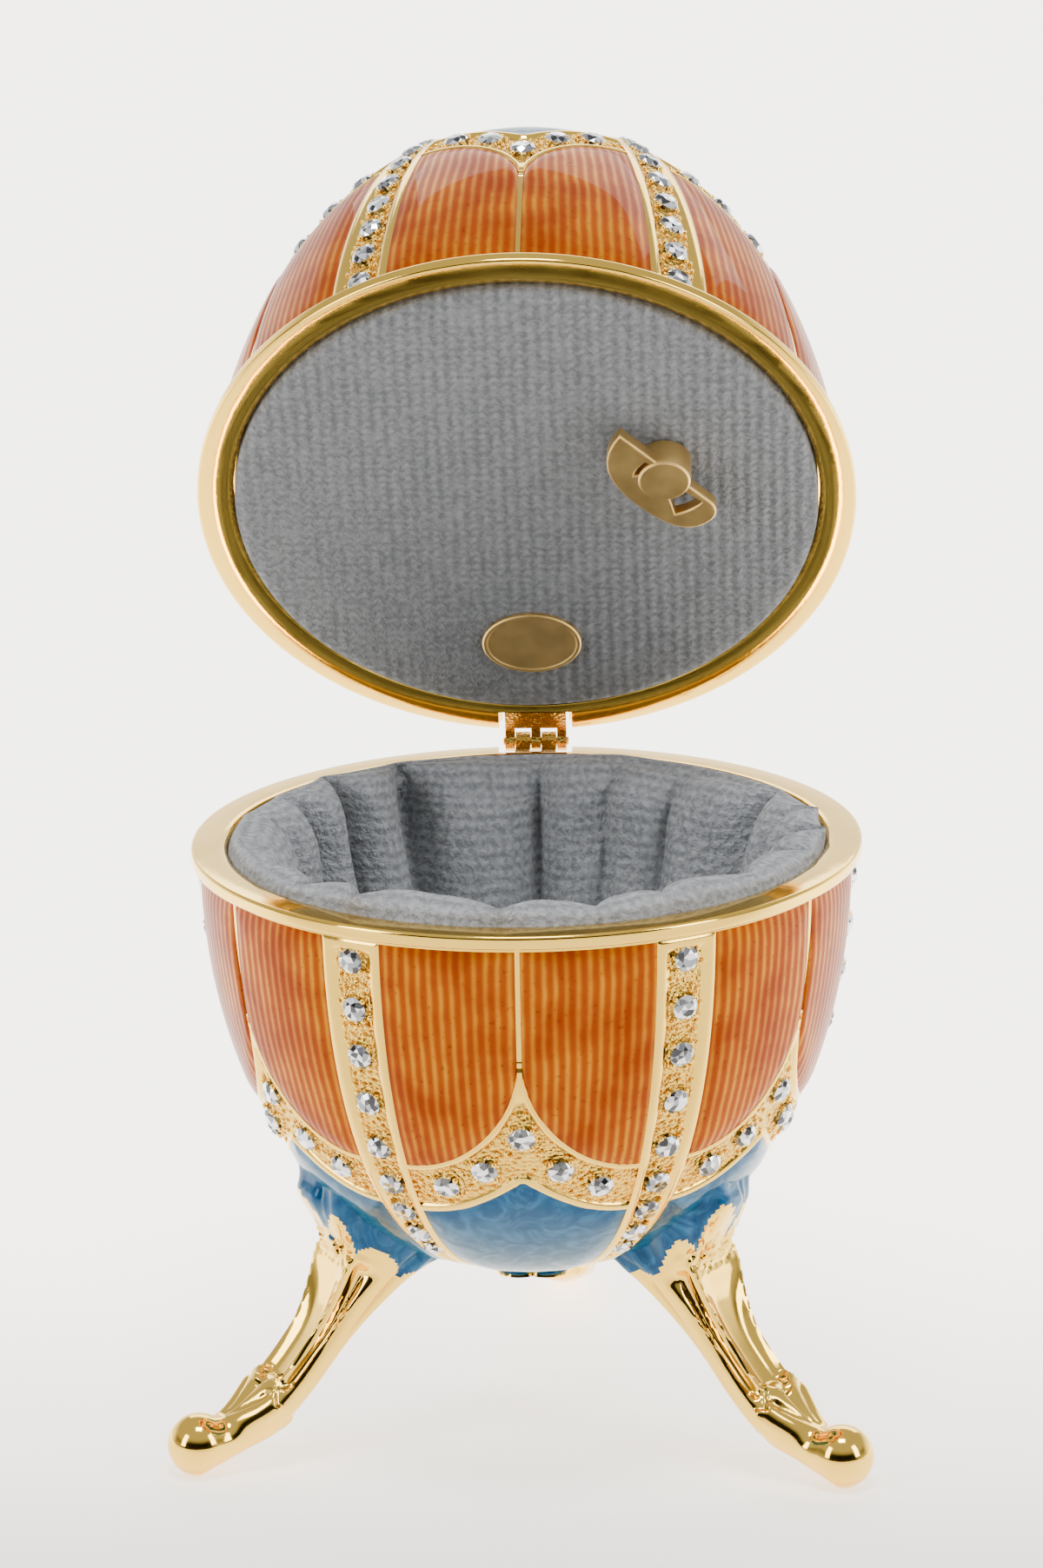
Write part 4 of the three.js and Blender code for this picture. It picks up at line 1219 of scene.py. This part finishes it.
def lining():
    """The gathered, stuffed pouch: a rolled edge at the rim, deep folds and a soft floor."""
    mouth = BOWL["flange"] - RIM_LAND - 0.05
    wall = []
    for u in (0.86, 0.7, 0.5, 0.28, 0.12):
        r, h, nr, nh = (float(v) for v in profile(BOWL, u))
        offset = WALL + LINING_GAP
        wall.append((min(mouth, r - offset * nr), -(h - offset * nh), 0.0))
    floor = LINING_THICK + WALL - BOWL["height"]
    pocket = [
        (mouth, -2.4, 0.0),
        (mouth, -0.9, 0.0),
        (mouth - 0.6, 0.5, 0.1),
        (mouth - 2.0, LINING_CREST, 0.3),
        (mouth - 3.7, LINING_CREST - 0.1, 0.6),
        (LINING_POCKET + 0.5, -0.9, 0.85),
        (LINING_POCKET - 0.3, -3.2, 1.0),
        (LINING_POCKET - 1.3, -7.5, 1.0),
        (LINING_POCKET - 3.0, -13.0, 1.0),
        (LINING_POCKET - 6.0, -19.0, 1.0),
        (LINING_POCKET - 10.4, -25.0, 0.8),
        (LINING_POCKET - 15.5, lerp(floor, -24, 0.25), 0.4),
        (LINING_POCKET - 20.2, floor + 0.2, 0.1),
        (LINING_POCKET - 22.4, floor, 0.0),
    ]
    a = np.linspace(0, 2 * math.pi, 16 * LINING_FOLDS + 1)[:-1]
    uneven = 1.2 * np.sin(2 * a) + 1.3 * np.sin(5 * a) + 0.6
    pillow = np.abs(np.sin((LINING_FOLDS * a + uneven) / 2))
    crease = (1 - pillow) ** 1.5 * (0.62 + 0.38 * np.sin(3 * a + 1.2))
    rows = np.concatenate([np.array(wall), spline(pocket, 52)])
    rings = []
    held = []
    for radius, height, fold in rows:
        sway = 0.35 * fold * np.sin(4 * a + 0.25 * height)
        r = np.minimum(radius + 7.0 * fold * crease + sway, mouth)
        lift = 0.3 * np.sin(6 * a + 0.8) + 0.2 * np.sin(11 * a) - 0.75 * np.sin(a)
        wave = lift * smoothstep(fold / 0.3) - 0.8 * fold * crease
        z = height + wave * smoothstep((height + 4) / 3)
        rings.append(np.stack([r * np.cos(a), r * np.sin(a), z], -1))
        held.append((crease > 0.3) | (fold < 0.2))
    rings = np.array(rings)
    rings = puffed(rings, np.array(held))
    smooth = spline(rings.reshape(len(rows), -1), LINING_ROWS).reshape(LINING_ROWS, -1, 3)
    fine = inside_bowl(closed_spline(smooth, LINING_COLUMNS), mouth)
    radii = np.hypot(fine[..., 0], fine[..., 1]).mean(1)
    drop = np.diff(fine[..., 2].mean(1), prepend=0)
    length = np.cumsum(np.hypot(np.diff(radii, prepend=radii[0]), drop))
    around = np.linspace(0, 2 * math.pi * LINING_POCKET, LINING_COLUMNS + 1)[:-1]
    pattern = np.stack(np.broadcast_arrays(length[:, None], around[None]), -1)
    form = Form()
    form.tube(fine, None, pattern)
    finishes = [LINING_VELOUR]
    nodes = ["bowl_lining"]
    piece = make("lining_pouch", form, EGG_PLACE, "base", finishes, nodes, 80.0)
    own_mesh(piece)


def pad():
    """The velour over the lid's board: knitted ribs, a soft swell and a turned edge."""
    columns, rows = 260, 130
    face = -PAD_PROUD
    across = np.linspace(-1, 1, columns)
    up = np.sin(np.linspace(-math.pi / 2, math.pi / 2, rows) * 0.997)
    y = PAD_RADIUS * up[:, None] + 0 * across
    x = np.sqrt(np.maximum(PAD_RADIUS**2 - y**2, 0)) * np.sin(across * math.pi / 2)
    edge = PAD_RADIUS - np.hypot(x, y)
    ribs = 0.07 * np.cos(2 * math.pi * x / KNIT_PITCH) * smoothstep(edge / 2)
    turned_edge = 0.75 * (1 - np.sqrt(1 - (1 - np.clip(edge / 1.0, 0, 1)) ** 2))
    swell = 0.05 * np.sin(0.31 * x + 0.5) * np.cos(0.23 * y)
    # the half frame looks into the dome, so the shown face has the lower height
    top = np.stack([x, y, face + turned_edge + ribs + swell], -1)
    bottom = np.stack([x, y, 0 * x + face + PAD_THICKNESS - 0.05], -1)
    pattern = np.stack([x, y], -1)
    form = Form()
    form.slab(top[:, ::-1], bottom[:, ::-1], pattern[:, ::-1])
    piece = make("pad_velour", form, LID_PLACE, "lid", [PAD_VELOUR], ["lid_pad"], 80.0)


# Brass pieces


def outline_form(outlines, low, high, bevel):
    """A flat plate with bevelled edges: the first closed outline, less the others."""
    curve = bpy.data.curves.new("outline", "CURVE")
    curve.dimensions = "2D"
    curve.fill_mode = "BOTH"
    curve.extrude = (high - low) / 2 - bevel
    curve.bevel_depth = bevel
    curve.bevel_resolution = 3
    curve.offset = -bevel
    for outline in outlines:
        line = curve.splines.new("POLY")
        line.points.add(len(outline) - 1)
        for point, (x, y) in zip(line.points, outline):
            point.co = (x, y, 0, 1)
        line.use_cyclic_u = True
    holder = bpy.data.objects.new("outline", curve)
    mesh = bpy.data.meshes.new_from_object(holder)
    points = np.array([v.co[:] for v in mesh.vertices]) + (0, 0, (high + low) / 2)
    faces = [list(p.vertices) for p in mesh.polygons]
    bpy.data.objects.remove(holder)
    bpy.data.curves.remove(curve)
    bpy.data.meshes.remove(mesh)
    return points, faces


def bezier(start, first, second, end, count=16):
    points = []
    for u in np.linspace(0, 1, count + 1)[:-1]:
        v = 1 - u
        mix = (v**3, 3 * v * v * u, 3 * v * u * u, u**3)
        held = zip(mix, (start, first, second, end))
        points.append(tuple(sum(m * np.array(p, float) for m, p in held)))
    return points


def key_opening(start, end, inner, outer):
    """An opening beside the hub, between two angles, from the hub's wall outwards."""
    turns = [math.radians(x) for x in np.linspace(start, end, 13)]
    low = [(KEY_HUB_RADIUS + inner) * np.array([math.cos(a), math.sin(a)]) for a in turns]
    turns = [math.radians(x) for x in np.linspace(end * 0.98, start * 0.98, 9)]
    far = KEY_HUB_RADIUS + outer
    high = [far * np.array([math.cos(a), math.sin(a)]) for a in turns]
    return [tuple(p) for p in low + high]


def winding_key():
    """The key: a D-shaped wing with two openings beside a hub, a rolled edge and a shaft."""
    tip = -KEY_HALF_LENGTH - 0.2
    chord = -KEY_CHORD
    half = KEY_HALF_LENGTH
    wing = bezier((tip, chord), (tip + 0.7, 2.3), (-4.4, KEY_HALF_WIDTH), (0.6, KEY_HALF_WIDTH))
    wing += bezier((0.6, KEY_HALF_WIDTH), (4.4, KEY_HALF_WIDTH), (half, 3.6), (half, 0.6))
    wing += bezier((half, 0.6), (half, -0.4), (half - 0.8, chord), (half - 2.0, chord))
    slots = [key_opening(-6, 32, 0.0, 2.1), key_opening(150, 190, 0.0, 0.38)]
    low = -KEY_HUB_HEIGHT - KEY_PLATE
    form = Form()
    form.add(*outline_form([wing] + slots, low, low + KEY_PLATE, 0.22))
    hub = [(0.02, low - 0.16), (KEY_HUB_RADIUS - 0.25, low - 0.16), (KEY_HUB_RADIUS - 0.05, low)]
    hub += [(KEY_HUB_RADIUS, low + 0.2), (KEY_HUB_RADIUS, -0.15), (KEY_HUB_RADIUS - 0.15, 0.0)]
    hub += [(KEY_SHAFT_RADIUS, 0.0), (KEY_SHAFT_RADIUS, PAD_THICKNESS), (0.02, PAD_THICKNESS)]
    form.tube(turned_rings(hub, np.linspace(0, 2 * math.pi, 49)[:-1]))
    make("brass_key", form, KEY_PLACE, "key", [BRASS], ["winding_key"], crease=30.0)


def oval_plate():
    """The bare plate: a bevelled oval with a low raised border."""
    turn = np.linspace(0, 2 * math.pi, 73)[:-1]
    back = [(0.3, 0.5), (0.0, 0.42), (0.0, 0.12)]
    front = [(0.14, 0.0), (0.42, 0.0), (0.55, 0.1), (3.9, 0.12)]
    rings = []
    for inset, height in back + front:
        x = (PLATE_HALF_X - inset) * np.cos(turn)
        y = (PLATE_HALF_Y - inset) * np.sin(turn)
        rings.append(np.stack([x, y, 0 * turn + height], -1))
    form = Form()
    form.tube(np.array(rings)[::-1])
    make("brass_plate", form, PLATE_PLACE, "lid", [BRASS], ["lid_plate"])


def hinge():
    """The hinge's own CAD pieces, with eased edges and a stippled finish."""
    for name in ("hinge_leaf_bowl", "hinge_leaf_lid", "hinge_pin"):
        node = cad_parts[name]
        node.data.materials.clear()
        node.data.materials.append(STIPPLED)
        ease = node.modifiers.new("eased edges", "BEVEL")
        ease.width = 0.08 * MM
        ease.segments = 2
        ease.limit_method = "ANGLE"


# Studio


def studio():
    size = 3.0
    corners = [(-size, -size, 0), (size, -size, 0), (size, size, 0), (-size, size, 0)]
    mesh = bpy.data.meshes.new("table_top")
    mesh.from_pydata(corners, [], [(0, 1, 2, 3)])
    floor = bpy.data.objects.new("table_top", mesh)
    bpy.context.scene.collection.objects.link(floor)
    mesh.materials.append(table_top())

    world = bpy.data.worlds.new("studio")
    world.use_nodes = True
    bpy.context.scene.world = world
    nodes = Nodes(world.node_tree)
    where = nodes.node("TexCoord")
    height = nodes.part(where, 2)
    behind = nodes.part(where, 1)
    dim = nodes.smooth(0 - behind, 0.25, 0.75) * nodes.smooth(1 - height, 0.35, 0.7)
    side = nodes.smooth(height, 0.05, 0.25) * (1 - nodes.smooth(height, 0.3, 0.45))
    shade = (1 - dim * 0.97) * (1 - side * 0.55)
    backdrop = nodes.smooth(behind, 0.0, 0.6) * (1 - nodes.smooth(height, 0.2, 0.5))
    background = world.node_tree.nodes["Background"]
    tint = nodes.mix(height, (1.0, 0.975, 0.94), (0.97, 0.985, 1.0))
    nodes.join(background.inputs[0], tint)
    nodes.join(background.inputs[1], (shade + backdrop * 3.0) * WORLD_GLOW)

    for name, spot, width, height, power in (
        ("top", (0.0, -0.25, 1.0), 0.32, 0.22, 7.0),
        ("left", (-0.8, -0.55, 0.45), 0.3, 0.7, 6.0),
        ("right", (0.8, -0.5, 0.5), 0.3, 0.7, 6.0),
        ("back", (0.1, 0.9, 0.6), 1.0, 0.4, 5.0),
    ):
        data = bpy.data.lights.new(name, "AREA")
        data.shape = "RECTANGLE"
        data.size = width
        data.size_y = height
        data.energy = power
        lamp = bpy.data.objects.new(name, data)
        lamp.location = spot
        aim = Vector((0, 0, 0.06)) - Vector(spot)
        lamp.rotation_euler = aim.to_track_quat("-Z", "Y").to_euler()
        bpy.context.scene.collection.objects.link(lamp)


def camera():
    turn = math.radians(CAMERA_TURN_DEG)
    rise = math.radians(CAMERA_RISE_DEG)
    roll = math.radians(CAMERA_ROLL_DEG)
    level = math.cos(rise)
    back = Vector((math.sin(turn) * level, -math.cos(turn) * level, math.sin(rise)))
    side = (-back).cross(Vector((0, 0, 1))).normalized()
    up = back.cross(side).normalized()
    right = math.cos(roll) * side + math.sin(roll) * up
    top = -math.sin(roll) * side + math.cos(roll) * up
    data = bpy.data.cameras.new("camera")
    data.sensor_fit = "VERTICAL"
    data.sensor_height = 36.0
    data.lens = CAMERA_LENS
    data.clip_start = 0.05
    data.clip_end = 20.0
    eye = bpy.data.objects.new("camera", data)
    spot = (Vector(RIM_CENTRE + CAMERA_AIM) + back * CAMERA_DISTANCE) * MM
    rows = (
        (right.x, top.x, back.x, spot.x),
        (right.y, top.y, back.y, spot.y),
        (right.z, top.z, back.z, spot.z),
        (0, 0, 0, 1),
    )
    eye.matrix_world = Matrix(rows)
    bpy.context.scene.collection.objects.link(eye)
    bpy.context.scene.camera = eye


camera()
studio()
bowl_casting()
lid_casting()
halves = (("bowl", BOWL, BOWL_PLACE, "base"), ("lid", LID, LID_PLACE, "lid"))
for prefix, half, place, body in halves:
    orange_panels(prefix, half, place, body)
    blue_panels(prefix, half, place, body)
    setting(prefix, half, place, body)
    rosette(prefix, half, place, body)
for name, angle in (("leg_back", 90), ("leg_left", 210), ("leg_right", 330)):
    leg(name, angle)
lining()
pad()
winding_key()
oval_plate()
hinge()
